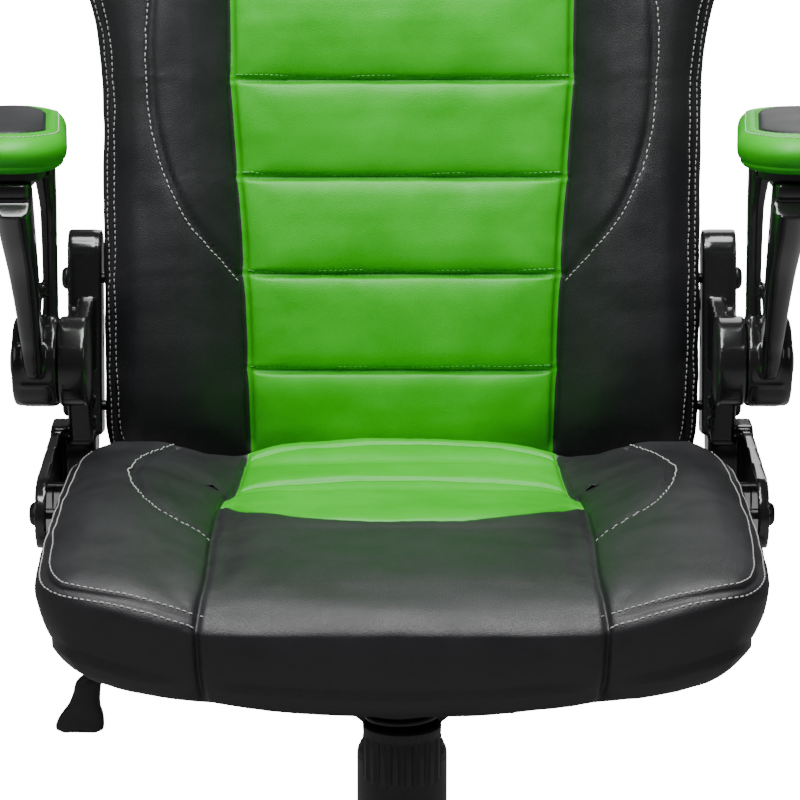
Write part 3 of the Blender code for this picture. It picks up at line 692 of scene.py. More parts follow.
# the filling presses the cover out between its seams, a cloth pass with the seams and the held side pinned
def stuffed(points, normals, faces, seams, held, voxel=0.008, hollow=0.003, limit=0.006, pressure=4.0):
    apart = np.min([alongPath(points, evenSteps(path, 0.003))[0] for path, *_ in seams], axis=0)
    slack = hollow * (1 - np.exp(-(apart / 0.022) ** 2)) * (~held)
    sunk = points - normals * slack[:, None]
    sack = bpy.data.objects.new("stuffing", bpy.data.meshes.new("stuffing"))
    sack.data.from_pydata([tuple(point) for point in sunk], [],
                          [tuple(int(i) for i in face) for face in faces])
    bpy.context.scene.collection.objects.link(sack)
    remesh = sack.modifiers.new("remesh", "REMESH")
    remesh.mode = "VOXEL"
    remesh.voxel_size = voxel
    even = bpy.data.meshes.new_from_object(sack.evaluated_get(bpy.context.evaluated_depsgraph_get()))
    sack.modifiers.clear()
    sack.data = even
    start = np.array([tuple(vertex.co) for vertex in even.vertices])
    near = np.min([alongPath(start, evenSteps(path, 0.003))[0] for path, *_ in seams], axis=0)
    fine = KDTree(len(sunk))
    for i, point in enumerate(sunk):
        fine.insert(point, i)
    fine.balance()
    pins = sack.vertex_groups.new(name="pins")
    pins.add([i for i, point in enumerate(start) if near[i] < 0.75 * voxel or held[fine.find(point)[1]]],
             1.0, "REPLACE")
    cloth = sack.modifiers.new("filling", "CLOTH")
    cloth.settings.quality = 5
    cloth.settings.mass = 0.35
    cloth.settings.tension_stiffness = cloth.settings.compression_stiffness = 20
    cloth.settings.bending_stiffness = 2
    cloth.settings.vertex_group_mass = "pins"
    cloth.settings.use_pressure = True
    cloth.settings.uniform_pressure_force = pressure
    cloth.settings.effector_weights.gravity = 0
    cloth.collision_settings.use_collision = False
    cloth.point_cache.frame_end = 20
    for frameNumber in range(1, 21):
        bpy.context.scene.frame_set(frameNumber)
    puffed = sack.evaluated_get(bpy.context.evaluated_depsgraph_get()).to_mesh()
    moved = np.array([tuple(vertex.co) for vertex in puffed.vertices]) - start
    length = np.linalg.norm(moved, axis=1)[:, None] + 1e-9
    moved *= limit * np.tanh(length / limit) / length
    coarse = KDTree(len(start))
    for i, point in enumerate(start):
        coarse.insert(point, i)
    coarse.balance()
    shift = np.zeros_like(sunk)
    for i, point in enumerate(sunk):
        found = coarse.find_n(point, 6)
        weights = np.array([1 / (distance + 0.3 * voxel) ** 2 for _, _, distance in found])
        shift[i] = weights @ moved[[index for _, index, _ in found]] / weights.sum()
    print("stuffed", len(start), "points, moved up to", round(float(np.linalg.norm(shift,
            axis=1).max()) * 1000, 1), "mm")
    bpy.data.objects.remove(sack)
    bpy.context.scene.frame_set(1)
    points = sunk + shift
    return points, normalsOf(points, faces)


# slow unevenness of stuffing and skin
def lumps(points, size, rng, count=14):
    total = np.zeros(len(points))
    for _ in range(count):
        direction = rng.normal(size=3)
        direction /= np.linalg.norm(direction)
        total += np.sin(points @ direction * 2 * pi / (size * rng.uniform(0.6, 1.6)) + rng.uniform(0, 6.28))
    return total / count ** 0.5


seat = {
    "halfWidth": 0.2560, "front": -0.268, "rear": 0.145, "tongue": 0.040, "bottom": 0.3665,
    "sideEdge": 0.046, "frontEdge": 0.046, "frontCorner": 0.095, "rearCorner": 0.080,
    "channels": (0.117, 0.049), "greenLine": -0.12, "seamDepth": 0.0030, "stitchPitch": 0.0047,
    "rowGap": 0.0052, "bolsterGap": 0.0034,
    "border": smoothCurve([(-0.27, 0.136), (-0.20, 0.133), (-0.117, 0.132), (-0.03, 0.128),
                           (0.17, 0.1165)]),
    "greenFront": smoothCurve([(0, -0.050), (0.045, -0.046), (0.074, -0.036), (0.10, -0.018),
                               (0.115, -0.004), (0.128, 0.014), (0.14, 0.02)]),
    "centreTop": smoothCurve([(-0.268, 0.4520), (-0.24, 0.4585), (-0.20, 0.461), (-0.12, 0.459),
                              (-0.05, 0.455),
                              (0.03, 0.452), (0.10, 0.454), (0.17, 0.460)]),
    "rise": smoothCurve([(0, 0), (0.118, 0), (0.15, 0.013), (0.19, 0.029), (0.215, 0.031), (0.24, 0.027),
                         (0.26, 0.02)]),
    "belly": smoothCurve([(0, 0), (0.06, 0.0030), (0.10, 0.0070), (0.143, 0.0118), (0.18, 0.0180),
                          (0.203, 0.0245), (0.23, 0.0350), (0.256, 0.0480)]),
    "bolsterSeam": [(0.170, 0.128), (0.183, 0.100), (0.193, 0.065), (0.1965, 0.030), (0.193, -0.015),
                    (0.188, -0.0436),
                    (0.178, -0.075), (0.167, -0.0915), (0.150, -0.101), (0.1330, -0.108)],
}


def seatPoint(a, b, c):
    a, b, c = (np.asarray(v, float) + np.zeros(np.broadcast(a, b, c).shape) for v in (a, b, c))
    halfLength, middle = (seat["rear"] - seat["front"]) / 2, (seat["rear"] + seat["front"]) / 2
    angle = c * pi / 2
    out, up = np.maximum(np.cos(angle), 0) ** 0.92, np.sin(angle)
    edgeB = np.where(c > 0, np.where(b < 0, seat["frontEdge"], 0.018), 0.024) / halfLength
    alongB = b * (1 - edgeB) + edgeB * out * np.sign(b) * np.abs(b) ** 8
    corner = seat["rearCorner"] + (seat["frontCorner"] - seat["rearCorner"]) * ease(-b, 0, 0.5)
    power = (1 - corner) / corner
    y = middle + halfLength * alongB
    pinch = 1 - corner * np.abs(alongB) ** power
    edgeA = seat["sideEdge"] / seat["halfWidth"]
    share = seat["border"](y) / (seat["halfWidth"] * (1 - edgeA) * pinch)
    sideways = splitAt(a, share)
    acrossA = sideways * (1 - edgeA) + edgeA * out * np.sign(sideways) * np.abs(sideways) ** 8
    x = seat["halfWidth"] * acrossA * pinch
    y = middle + halfLength * alongB * (1 - corner * np.abs(acrossA) ** power)
    line = middle + halfLength * seat["greenLine"] * (1 - edgeB)
    near = np.clip(1 - np.abs(b - seat["greenLine"]) / 0.80, 0, 1)
    shift = (seat["greenFront"](np.abs(x)) - line) * near ** 2 * (3 - 2 * near) * (1 - ease(np.abs(x),
            0.137, 0.20))
    y = y + shift * ease(c, 0.9, 1.0)
    x = x * (1 - 0.010 * ease(-y, 0.08, 0.20))
    y = y + seat["tongue"] * np.clip(1 - (x / 0.150) ** 2, 0, 1) * ease(b, 0.2, 1.0)
    size = np.abs(x)
    fade = (1 - 0.50 * ease(-y, 0.10, 0.25)) * (1 - 0.40 * ease(y, -0.02, 0.13))
    top = seat["centreTop"](y) + seat["rise"](size) * fade
    inside = 1 - (size / 0.128) ** 6
    stops = sorted([0.185, *seat["channels"], -0.077])
    for low, high in zip(stops, stops[1:]):
        t = np.clip((y - low) / (high - low), 0, 1)
        hump = np.where((t > 0) & (t < 1), np.clip(1 - np.abs(2 * t - 1) ** 3.0, 0, 1) ** 0.7, 0)
        top = top + 0.0055 * hump * np.clip(inside, 0, 1)
    widest = 0.430 + 0.017 * ease(size, 0.12, 0.22) + 0.006 * ease(-y, 0.08, 0.22)
    low = seat["bottom"] + 0.008 * ease(-y, 0.21, 0.26) + seat["belly"](size) * ease(-y, 0.08, 0.25)
    z = np.where(up > 0, widest + (top - widest) * up, widest + (widest - low) * up)
    return np.stack([x, y, z], -1)


# running average along a path
def calmed(values, width=21):
    padded = np.pad(values, ((width // 2, width // 2), (0, 0)), mode="edge")
    kernel = np.ones(width) / width
    return np.stack([np.convolve(padded[:, i], kernel, mode="valid") for i in range(values.shape[1])], 1)


def offsetPath(path, skin, distance):
    path = evenSteps(path, 0.0015)
    normals = calmed(skin.lay(path)[1])
    ahead = calmed(np.gradient(path, axis=0), 9)
    side = np.cross(normals, ahead)
    side /= np.linalg.norm(side, axis=1)[:, None] + 1e-12
    return path + side * distance


def makeSeatCushion():
    rng = np.random.default_rng(11)
    halfLength, middle = (seat["rear"] - seat["front"]) / 2, (seat["rear"] + seat["front"]) / 2
    channelLines = [(y - middle) / (halfLength * (1 - 0.018 / halfLength)) for y in seat["channels"]]
    across = seamLines(-1, 1, (-0.5, 0.5), 0.017, 0.0055, 0.03)
    along = seamLines(-1, 1, [seat["greenLine"], *channelLines], 0.018, 0.006, 0.03)
    deep = seamLines(-1, 1, (0.556,), 0.06, 0.018, 0.10)
    grid, faces = blockGrid(across, along, deep)
    points = seatPoint(grid[:, 0], grid[:, 1], grid[:, 2])
    normals = normalsOf(points, faces)
    plain = linkMesh("plain", points, faces, "seat", recalc=False)
    skin = Skin(plain)
    bpy.data.objects.remove(plain)

    seams, outer, bolster = [], [], []
    t = np.linspace(1, -1, 200)
    for side in (-1, 1):
        border = np.concatenate([seatPoint(side * 0.5, t, 1.0),
                                 seatPoint(side * 0.5, -1.0, np.linspace(1, -0.9, 80))])
        seams.append((border, seat["seamDepth"], 0.0026, 0.0030, 0.011, 0.00014))
        turn = np.linspace(0, 1, 120)
        edge = np.concatenate([seatPoint(side, np.linspace(0.96, -1, 260), 0.42),
                               seatPoint(side * (1 - 0.5 * turn), -1.0, 0.42 - 0.06 * ease(turn, 0, 1))])
        outer.append(edge)
        seams.append((edge, 0.0022, 0.0022, 0.0012, 0.008, 0.00014))
        path = [(side * x, y) for x, y in seat["bolsterSeam"]]
        flat = densePath(path)
        heights = []
        for x, y in flat:
            spot, _, _, _ = skin.tree.ray_cast(Vector((x, y + columnY, 0.6)), Vector((0, 0, -1)))
            heights.append(spot.z)
        line = np.column_stack([flat, heights])
        bolster.append(line)
        seams.append((line, 0.0028, 0.0024, 0.0030, 0.010, 0.00014))
    edgeOfGreen = seatPoint(np.linspace(-0.5, 0.5, 160), seat["greenLine"], 1.0)
    seams.append((edgeOfGreen, 0.0030, 0.0026, 0.0028, 0.010, 0.00014))
    channels = []
    for value in channelLines:
        channel = seatPoint(np.linspace(-0.49, 0.49, 160), value, 1.0)
        channels.append(channel)
        seams.append((channel, 0.0030, 0.0028, 0.0016, 0.008, 0.00014))
    points, normals = stuffed(points, normals, faces, seams, grid[:, 2] < -0.5)
    points = sewIn(points, normals, seams, rng)
    points = points + normals * (0.0004 * lumps(points, 0.05, rng) + 0.00012 * lumps(points, 0.016, rng))[:,
            None]
    points[:, 2] = np.maximum(points[:, 2], seat["bottom"] - 0.0003)
    cover = linkMesh("seat_cover", points, faces, "seat", ["seat_cushion"], "black_leather",
                     [looks["black_leather"], looks["green_leather"], looks["linerCloth"]], recalc=True)
    middles = grid[faces].mean(1)
    green = (middles[:, 2] > 0.999) & (np.abs(middles[:, 0]) < 0.5) & (middles[:, 1] > seat["greenLine"])
    green |= (middles[:, 1] > 0.999) & (np.abs(middles[:, 0]) < 0.5) & (middles[:, 2] > 0)
    under = middles[:, 2] < -0.999
    for polygon, isGreen, isUnder in zip(cover.data.polygons, green, under):
        polygon.material_index = 1 if isGreen else 2 if isUnder else 0

    skin = Skin(cover)
    rows = []
    for line in outer:
        rows += [offsetPath(line, skin, seat["rowGap"]), offsetPath(line, skin, -seat["rowGap"])]
    sewRow("seat_edge_stitches", skin, rows, "seat", "black_leather", looks["paleThread"],
           seat["stitchPitch"])
    rows = [offsetPath(line, skin, d) for line, d in zip(bolster,
                                                         (-seat["bolsterGap"], seat["bolsterGap"]))]
    sewRow("seat_bolster_stitches", skin, rows, "seat", "black_leather", looks["paleThread"],
           seat["stitchPitch"])
    print("seat cushion made", len(points))
    return cover


back = {
    "low": -0.034, "high": 0.712, "rearFace": -0.065, "widest": -0.022, "frontEdge": 0.034,
    "rearEdge": 0.048, "endEdge": 0.030,
    "channels": [0.0557 + 0.0745 * i for i in range(8)], "greenTop": 0.650, "bolster": 0.030,
    "stitchPitch": 0.0047,
    "halfWidth": smoothCurve([(-0.034, 0.2080), (-0.018, 0.2230), (0.015, 0.2315), (0.100, 0.2330),
                              (0.200, 0.2332), (0.270, 0.2334),
                              (0.300, 0.2355), (0.325, 0.2395), (0.350, 0.2455), (0.400, 0.2560),
                              (0.440, 0.2600), (0.480, 0.2600),
                              (0.530, 0.2500), (0.580, 0.2150),
                              (0.630, 0.1780), (0.675, 0.1560), (0.700, 0.1330), (0.712, 0.1150)]),
    "share": smoothCurve([(-0.034, 0.1), (-0.018, 0.25), (0.015, 0.7), (0.1, 0.9), (0.2, 1.0), (0.48, 1.0),
                          (0.53, 0.9),
                          (0.58, 0.65), (0.63, 0.35), (0.675, 0.12), (0.712, 0.0)]),
    "green": smoothCurve([(-0.034, 0.116), (0, 0.1174), (0.052, 0.118), (0.132, 0.1208), (0.202, 0.1252),
                          (0.279, 0.1303),
                          (0.34, 0.1309), (0.50, 0.128), (0.58, 0.112), (0.65, 0.085), (0.712, 0.066)]),
    "profile": smoothCurve([(-0.034, -0.030), (0, -0.013), (0.05, 0.0), (0.13, 0.004), (0.25, 0.0),
                            (0.5, 0.0), (0.60, 0.006),
                            (0.712, 0.0)]),
    "crest": smoothCurve([(0, 0), (0.10, 0.30), (0.30, 0.82), (0.5, 1.0), (0.7, 0.98), (0.88, 0.78),
                          (1.0, 0.6)]),
    "bolsterSeam": [(0.1226, 0.129), (0.1454, 0.156), (0.1591, 0.172), (0.1721, 0.196), (0.1857, 0.2375),
                    (0.1905, 0.279),
                    (0.1905, 0.32), (0.187, 0.36), (0.185, 0.40), (0.188, 0.46), (0.186, 0.52),
                    (0.172, 0.57), (0.138, 0.61), (0.106, 0.645),
                    (0.083, 0.652)],
}


def leaning(x, height, forward):
    tilt = radians(9)
    return np.stack([x, 0.170 + height * sin(tilt) - forward * cos(tilt),
                     0.460 + height * cos(tilt) + forward * sin(tilt)], -1)


def backPoint(a, b, c):
    a, b, c = (np.asarray(v, float) + np.zeros(np.broadcast(a, b, c).shape) for v in (a, b, c))
    half, middle = (back["high"] - back["low"]) / 2, (back["high"] + back["low"]) / 2
    angle = c * pi / 2
    out, up = np.maximum(np.cos(angle), 0) ** 0.92, np.sin(angle)
    edgeB = back["endEdge"] / half
    height = middle + half * (b * (1 - edgeB) + edgeB * out * np.sign(b) * np.abs(b) ** 10)
    width = back["halfWidth"](height)
    edgeA = np.where(c > 0, back["frontEdge"], back["rearEdge"]) / 0.23
    share = back["green"](height) / (width * (1 - edgeA))
    sideways = splitAt(a, np.clip(share, 0.2, 0.85))
    x = width * (sideways * (1 - edgeA) + edgeA * out * np.sign(sideways) * np.abs(sideways) ** 8)
    size = np.abs(x)
    green = back["green"](height)
    rise = back["crest"](np.clip((size - green) / (width - green), 0,
                                 1)) * back["share"](height) * back["bolster"]
    front = back["profile"](height) - 0.004 * np.clip(1 - (size / green) ** 2, 0, 1) + rise
    inside = np.clip(1 - (size / green) ** 6, 0, 1)
    stops = [back["channels"][0] - 0.0745, *back["channels"], back["greenTop"]]
    for low, high in zip(stops, stops[1:]):
        t = np.clip((height - low) / (high - low), 0, 1)
        hump = np.where((t > 0) & (t < 1), np.clip(1 - np.abs(2 * t - 1) ** 3.2, 0, 1) ** 0.7, 0)
        front = front + 0.0080 * hump * inside
    forward = np.where(up > 0, back["widest"] + (front - back["widest"]) * up,
                       back["widest"] + (back["widest"] - back["rearFace"]) * up)
    return leaning(x, height, forward)


def makeBackCushion():
    rng = np.random.default_rng(23)
    half, middle = (back["high"] - back["low"]) / 2, (back["high"] + back["low"]) / 2
    inner = half * (1 - back["endEdge"] / half)
    channelLines = [(h - middle) / inner for h in back["channels"]]
    greenTop = (back["greenTop"] - middle) / inner
    across = seamLines(-1, 1, (-0.5, 0.5), 0.018, 0.0060, 0.03)
    along = seamLines(-1, 1, [*channelLines, greenTop], 0.0125, 0.0036, 0.017)
    deep = seamLines(-1, 1, (0.52,), 0.07, 0.022, 0.10)
    grid, faces = blockGrid(across, along, deep)
    points = backPoint(grid[:, 0], grid[:, 1], grid[:, 2])
    normals = normalsOf(points, faces)
    seams, outer, bolster, borders, channels = [], [], [], [], []
    for side in (-1, 1):
        border = backPoint(side * 0.5, np.linspace(-1, greenTop, 300), 1.0)
        borders.append(border)
        seams.append((border, 0.0030, 0.0026, 0.0030, 0.011, 0.00014))
        edge = backPoint(side, np.linspace(-0.97, 0.97, 420), 0.52)
        outer.append(edge)
        seams.append((edge, 0.0024, 0.0022, 0.0012, 0.008, 0.00014))
        flat = densePath(back["bolsterSeam"], 0.003)
        rows = []
        for x, height in flat:
            green, width = float(back["green"](height)), float(back["halfWidth"](height))
            rise = float(back["crest"](np.clip((x - green) / (width - green), 0,
                                               1)) * back["share"](height)) * back["bolster"]
            rows.append(leaning(side * x, height, float(back["profile"](height)) + rise))
        bolster.append(np.array(rows))
        seams.append((bolster[-1], 0.0028, 0.0024, 0.0030, 0.010, 0.00014))
    for value in channelLines:
        channel = backPoint(np.linspace(-0.49, 0.49, 160), value, 1.0)
        channels.append(channel)
        seams.append((channel, 0.0026, 0.0026, 0.0012, 0.008, 0.00014))
    topEdge = backPoint(np.linspace(-0.5, 0.5, 120), greenTop, 1.0)
    seams.append((topEdge, 0.0028, 0.0024, 0.0020, 0.009, 0.00014))
    points, normals = stuffed(points, normals, faces, seams, grid[:, 2] < -0.5)
    points = sewIn(points, normals, seams, rng)
    points = points + normals * (0.0004 * lumps(points, 0.05, rng) + 0.00012 * lumps(points, 0.016, rng))[:,
            None]
    cover = linkMesh("back_cover", points, faces, "seat", ["back_cushion"], "black_leather",
                     [looks["black_leather"], looks["green_leather"]], recalc=True)
    middles = grid[faces].mean(1)
    green = (middles[:, 2] > 0.999) & (np.abs(middles[:, 0]) < 0.5) & (middles[:, 1] < greenTop)
    green |= (middles[:, 1] < -0.999) & (np.abs(middles[:, 0]) < 0.5) & (middles[:, 2] > 0.2)
    for polygon, isGreen in zip(cover.data.polygons, green):
        polygon.material_index = 1 if isGreen else 0
    skin = Skin(cover)
    rows = []
    for line in outer:
        rows += [offsetPath(line, skin, 0.0058), offsetPath(line, skin, -0.0058)]
    sewRow("back_edge_stitches", skin, rows, "seat", "black_leather", looks["paleThread"],
           back["stitchPitch"])
    rows = [offsetPath(line, skin, d) for line, d in zip(bolster, (0.0034, -0.0034))]
    sewRow("back_bolster_stitches", skin, rows, "seat", "black_leather", looks["paleThread"],
           back["stitchPitch"])
    rows = [offsetPath(line, skin, 0.0034) for line in channels]
    sewRow("back_channel_stitches", skin, rows, "seat", "green_leather", looks["greenThread"], 0.0040,
           0.0029, 0.00042)
    print("back cushion made", len(points))
    return cover


# armrests: pads with a green nose and sides round a black panel, on black arms that hinge at a drum

pad = {
    "length": 0.255, "front": -0.090, "frontTop": 0.7440, "thick": 0.0285, "halfWidth": 0.0435,
    "middle": 0.286, "slope": 4.0,
    "toeIn": 5.0, "panel": 0.0285, "panelFront": 0.030, "panelRear": 0.026, "stitchPitch": 0.0042,
}


# across, along (front is 1) and depth on the pad, to its place on the right or left
def padPlace(x, y, drop, side):
    turn = radians(pad["toeIn"])
    worldX = pad["middle"] + x * cos(turn) - y * sin(turn)
    worldY = pad["front"] + pad["length"] / 2 - y * cos(turn) - x * sin(turn)
    z = pad["frontTop"] - (worldY - pad["front"]) * tan(radians(pad["slope"])) - drop
    return np.stack([side * worldX, worldY, z], -1)


# one ring of the pad's outline: its half width, front and rear lengths, corner radii and depth
def padRing(width, front, rear, drop, side, gather=0.0):
    radiusX, radiusY = 0.97 * width, 1.35 * width
    corner = np.linspace(0, pi / 2, 30)
    sides, ends = np.linspace(0, 1, 60)[1:-1], np.linspace(0, 1, 10)[1:-1]
    x, y = [], []
    for signX, signY, reach, turnBack in ((1, 1, front, False), (-1, 1, front, True), (-1, -1, rear, False),
                                          (1, -1, rear, True)):
        angle = corner[::-1] if turnBack else corner
        x += list(signX * (width - radiusX + radiusX * np.cos(angle)))
        y += list(signY * (reach - radiusY + radiusY * np.sin(angle)))
        lastX, lastY = x[-1], y[-1]
        nextX = -lastX if not turnBack else lastX
        nextY = lastY if not turnBack else -signY * ((rear if signY > 0 else front) - radiusY)
        for t in (ends if not turnBack else sides):
            x.append(lastX + (nextX - lastX) * t)
            y.append(lastY + (nextY - lastY) * t)
    x, y = np.array(x), np.array(y)
    ripple = np.sin(np.arange(len(x)) * 2.1 + 1.7 * np.sin(np.arange(len(x)) * 0.23)) * ease(y, 0.05, 0.09)
    return padPlace(x, y, drop - gather * ripple, side)


def makePad(side, word):
    rng = np.random.default_rng(5 if side < 0 else 6)
    half, thick, edge = pad["length"] / 2, pad["thick"], pad["halfWidth"] - pad["panel"]
    rings = []
    for share in (0.05, 0.2, 0.4, 0.6, 0.75, 0.86, 0.92, 0.955, 0.98, 1.0):
        shrink = pad["panel"] * (1 - share)
        groove = 0.0016 * np.exp(-(shrink / 0.0013) ** 2) + 0.0012 * np.exp(-shrink / 0.007)
        rings.append(padRing(pad["panel"] * share, half - pad["panelFront"] - shrink,
                             half - pad["panelRear"] - shrink,
                             groove - 0.0018 * (1 - share ** 2), side))
    panelRings = len(rings)
    for angle in (89, 86, 82, 77, 71, 64, 57, 49, 40, 30, 20, 10, 0, -10, -20, -29, -33, -36, -39, -43, -50,
                  -60, -72, -85, -90):
        out, up = cos(radians(angle)) ** 0.85, sin(radians(angle))
        low = ease(-up, 0.1, 0.9)
        inX = edge * (1 - out) * (1 - 0.30 * low)
        inFront = pad["panelFront"] * (1 - out) * (1 - 0.55 * low)
        inRear = pad["panelRear"] * (1 - out) * (1 - 0.50 * low)
        drop = 0.0145 - 0.0145 * up if up > 0 else 0.0145 - (thick - 0.0145) * up
        apart = radians(90 - angle) * 0.014
        seam = 0.0016 * np.exp(-(apart / 0.0013) ** 2) + 0.0010 * np.exp(-apart / 0.006) if up > 0 else 0.0
        welt = 0.0011 * np.exp(-((angle + 36) / 4.5) ** 2)
        rings.append(padRing(pad["halfWidth"] - inX - welt, half - inFront - welt, half - inRear - welt,
                             drop + seam, side,
                             0.00022 * np.exp(-((apart - 0.004) / 0.003) ** 2)))
    points = np.concatenate(rings)
    points[:, 2] += 0.00025 * lumps(points, 0.05, rng)
    count = len(rings[0])
    faces = []
    for i in range(len(rings) - 1):
        for k in range(count):
            n = (k + 1) % count
            faces.append((i * count + k, i * count + n, (i + 1) * count + n, (i + 1) * count + k))
    faces += [tuple(range(count)), tuple(range((len(rings) - 1) * count, len(rings) * count))]
    cover = linkMesh(f"arm_pad_cover_{word}", points, faces, f"armrest_{word}", [f"arm_pad_{word}"],
                     "green_leather",
                     [looks["green_leather"], looks["black_leather"]], recalc=True)
    for i, polygon in enumerate(cover.data.polygons):
        polygon.material_index = 1 if i < (panelRings - 1) * count or i == len(faces) - 2 else 0
    skin = Skin(cover)
    row = rings[panelRings + 6]
    sewRow(f"arm_pad_stitches_{word}", skin, [np.concatenate([row, row[:1]])], f"armrest_{word}",
           "green_leather", looks["paleThread"],
           pad["stitchPitch"], 0.0031, 0.00046)
    return cover


arm = {
    "pivot": (0.120, 0.536), "drum": 0.034, "inner": 0.2630, "outer": 0.2870, "drumOuter": 0.2925,
    "split": 0.2585,
    # along, up, half depth, middle across, half width across
    "frontLimb": [(0.0880, 0.531, 0.0040, 0.2752, 0.0050), (0.0868, 0.539, 0.0072, 0.2752, 0.0068),
                  (0.0815, 0.555, 0.0098, 0.2752, 0.0078),
                  (0.0660, 0.575, 0.0118, 0.2748, 0.0085), (0.016, 0.627, 0.0125, 0.2738, 0.0105),
                  (-0.036, 0.671, 0.0160, 0.2728, 0.0125), (-0.066, 0.6975, 0.0185, 0.2722, 0.0135)],
    "rearLimb": [(0.128, 0.550, 0.0140, 0.2660, 0.0060), (0.129, 0.600, 0.0115, 0.2650, 0.0055),
                 (0.126, 0.650, 0.0115, 0.2650, 0.0060),
                 (0.121, 0.684, 0.0150, 0.2670, 0.0080)],
}


# a limb with a rounded, rectangular section whose depth changes along a curve in the YZ plane
def limb(spine, near=0.0, far=0.0, bulge=0.0, steps=40, softness=4.0):
    spine = np.array(spine, float)
    lengths = np.concatenate([[0], np.cumsum(np.hypot(*np.diff(spine[:, :2], axis=0).T))])
    t = np.linspace(0, lengths[-1], steps)
    if spine.shape[1] < 5:
        spine = np.column_stack([spine, np.full(len(spine), (near + far) / 2),
                                 np.full(len(spine), abs(far - near) / 2)])
    curves = [smoothCurve(list(zip(lengths, spine[:, i]))) for i in range(5)]
    y, z, half, middle, wide = (curve(t) for curve in curves)
    dy, dz = np.gradient(y), np.gradient(z)
    size = np.hypot(dy, dz)
    ny, nz = -dz / size, dy / size
    rings = []
    for i in range(steps):
        ring = []
        for k in range(32):
            angle = 2 * pi * k / 32
            u = np.sign(cos(angle)) * abs(cos(angle)) ** (2 / softness)
            v = np.sign(sin(angle)) * abs(sin(angle)) ** (2 / softness)
            grow = 1 + bulge * sin(pi * i / (steps - 1))
            ring.append((middle[i] + wide[i] * u, y[i] + ny[i] * half[i] * v * grow,
                         z[i] + nz[i] * half[i] * v * grow))
        rings.append(ring)
    return lofted(rings)


def sided(solid, side):
    return solid if side > 0 else mirrored(solid)


def screwHead(radius, height, base, side, y, z, shank, tip, socket=0.0028):
    profile = [(0, tip), (shank, tip), (shank, base), (radius * 0.96, base), (radius, base + 0.0008)]
    for i in range(1, 9):
        angle = pi / 2 * i / 8
        profile.append((radius * (0.45 + 0.55 * cos(angle)),
                        base + 0.0008 + (height - 0.0008) * sin(angle)))
    profile += [(socket, base + height), (socket, base + height * 0.35), (0, base + height * 0.30)]
    return sided(turned(profile, "X", (0, y, z), 48), side)


def makeArm(side, word):
    body = f"armrest_{word}"
    y, z = arm["pivot"]
    under = pad["frontTop"] - pad["thick"] - 0.0003
    slope = tan(radians(pad["slope"]))

    def level(along, drop):
        return under - (along - pad["front"]) * slope - drop

    solids = [limb(arm["frontLimb"], softness=3.4), limb(arm["rearLimb"], softness=3.5)]
    rail = [(-0.074, level(-0.074, 0.0065)), (0.147, level(0.147, 0.0065)), (0.147, level(0.147, 0.015)),
            (0.128, level(0.128, 0.022)), (0.108, level(0.108, 0.015)), (-0.030, level(-0.030, 0.015)),
            (-0.074, level(-0.074, 0.018))]
    solids.append(extruded(rounded(rail, 0.004), arm["inner"] - 0.001, arm["outer"] + 0.001, "X"))
    r = arm["drum"]
    solids.append(turned([(0, arm["split"]), (r - 0.0012, arm["split"]), (r, arm["split"] + 0.0012),
                          (r, arm["drumOuter"] - 0.004),
                          (r - 0.0012, arm["drumOuter"] - 0.0012), (r - 0.004, arm["drumOuter"]),
                          (0.0165, arm["drumOuter"]),
                          (0.0150, arm["drumOuter"] - 0.0035), (0, arm["drumOuter"] - 0.0035)], "X",
                         (0, y, z), 96))
    # ring of mould marks on the drum and stiffening ribs between the limbs
    for i in range(3):
        angle = radians(200 + 35 * i)
        cy, cz = y + (r - 0.0005) * cos(angle), z + (r - 0.0005) * sin(angle)
        solids.append(turned([(0, arm["split"] + 0.004), (0.0022, arm["split"] + 0.004),
                              (0.0022, arm["drumOuter"] - 0.007), (0, arm["drumOuter"] - 0.007)],
                             "X", (0, cy, cz), 16))
    solids.append(limb([(0.085, 0.575, 0.0045), (0.104, 0.588, 0.0045), (0.124, 0.592, 0.0045)],
                       arm["inner"] + 0.006, arm["outer"] - 0.006, steps=16))
    slots = []
    for angle in (0.6, 2.2, 3.8, 5.4):
        cy, cz = y + 0.0255 * cos(angle), z + 0.0255 * sin(angle)
        ends = [(cy - 0.006 * sin(angle), cz + 0.006 * cos(angle)),
                (cy + 0.006 * sin(angle), cz - 0.006 * cos(angle))]
        slots.append(sided(extruded(bar(*ends, 0.0016, 0.0016, 8), arm["drumOuter"] - 0.0015,
                                    arm["drumOuter"] + 0.004, "X"), side))
    made = fuse(f"arm_frame_{word}", [sided(s, side) for s in solids], body, [f"arm_{word}"], "gloss_black",
                0.0014, 6, slots)
    bolt = turned([(0, 0.2400), (0.006, 0.2400), (0.006, 0.2885), (0.0118, 0.2885), (0.0125, 0.2895),
                   (0.0125, 0.2925),
                   (0.0110, 0.2949), (0.0070, 0.2955), (0.0042, 0.2955), (0.0036, 0.2920), (0, 0.2915)],
                  "X", (0, y, z), 64)
    solidPiece(f"pivot_screw_{word}", sided(bolt, side), body, [f"pivot_bolt_{word}"], "black_steel", 30)

    def plateRing(width, trim, drop):
        ring = []
        half = pad["length"] / 2 - trim
        for k in range(72):
            angle = 2 * pi * k / 72
            px = width * np.sign(cos(angle)) * abs(cos(angle)) ** 0.45
            py = half * np.sign(sin(angle)) * abs(sin(angle)) ** 0.28
            ring.append(tuple(padPlace(px, py, drop, side)))
        return ring

    t = pad["thick"]
    rings = [plateRing(0.0235, 0.026, t + 0.0065), plateRing(0.0270, 0.0205, t + 0.0062),
             plateRing(0.0282, 0.0195, t + 0.0050),
             plateRing(0.0282, 0.0195, t + 0.0004), plateRing(0.0270, 0.0205, t + 0.0001)]
    solidPiece(f"pad_base_{word}", lofted(rings), body, [f"pad_plate_{word}"], "matte_black", 30)
    return made


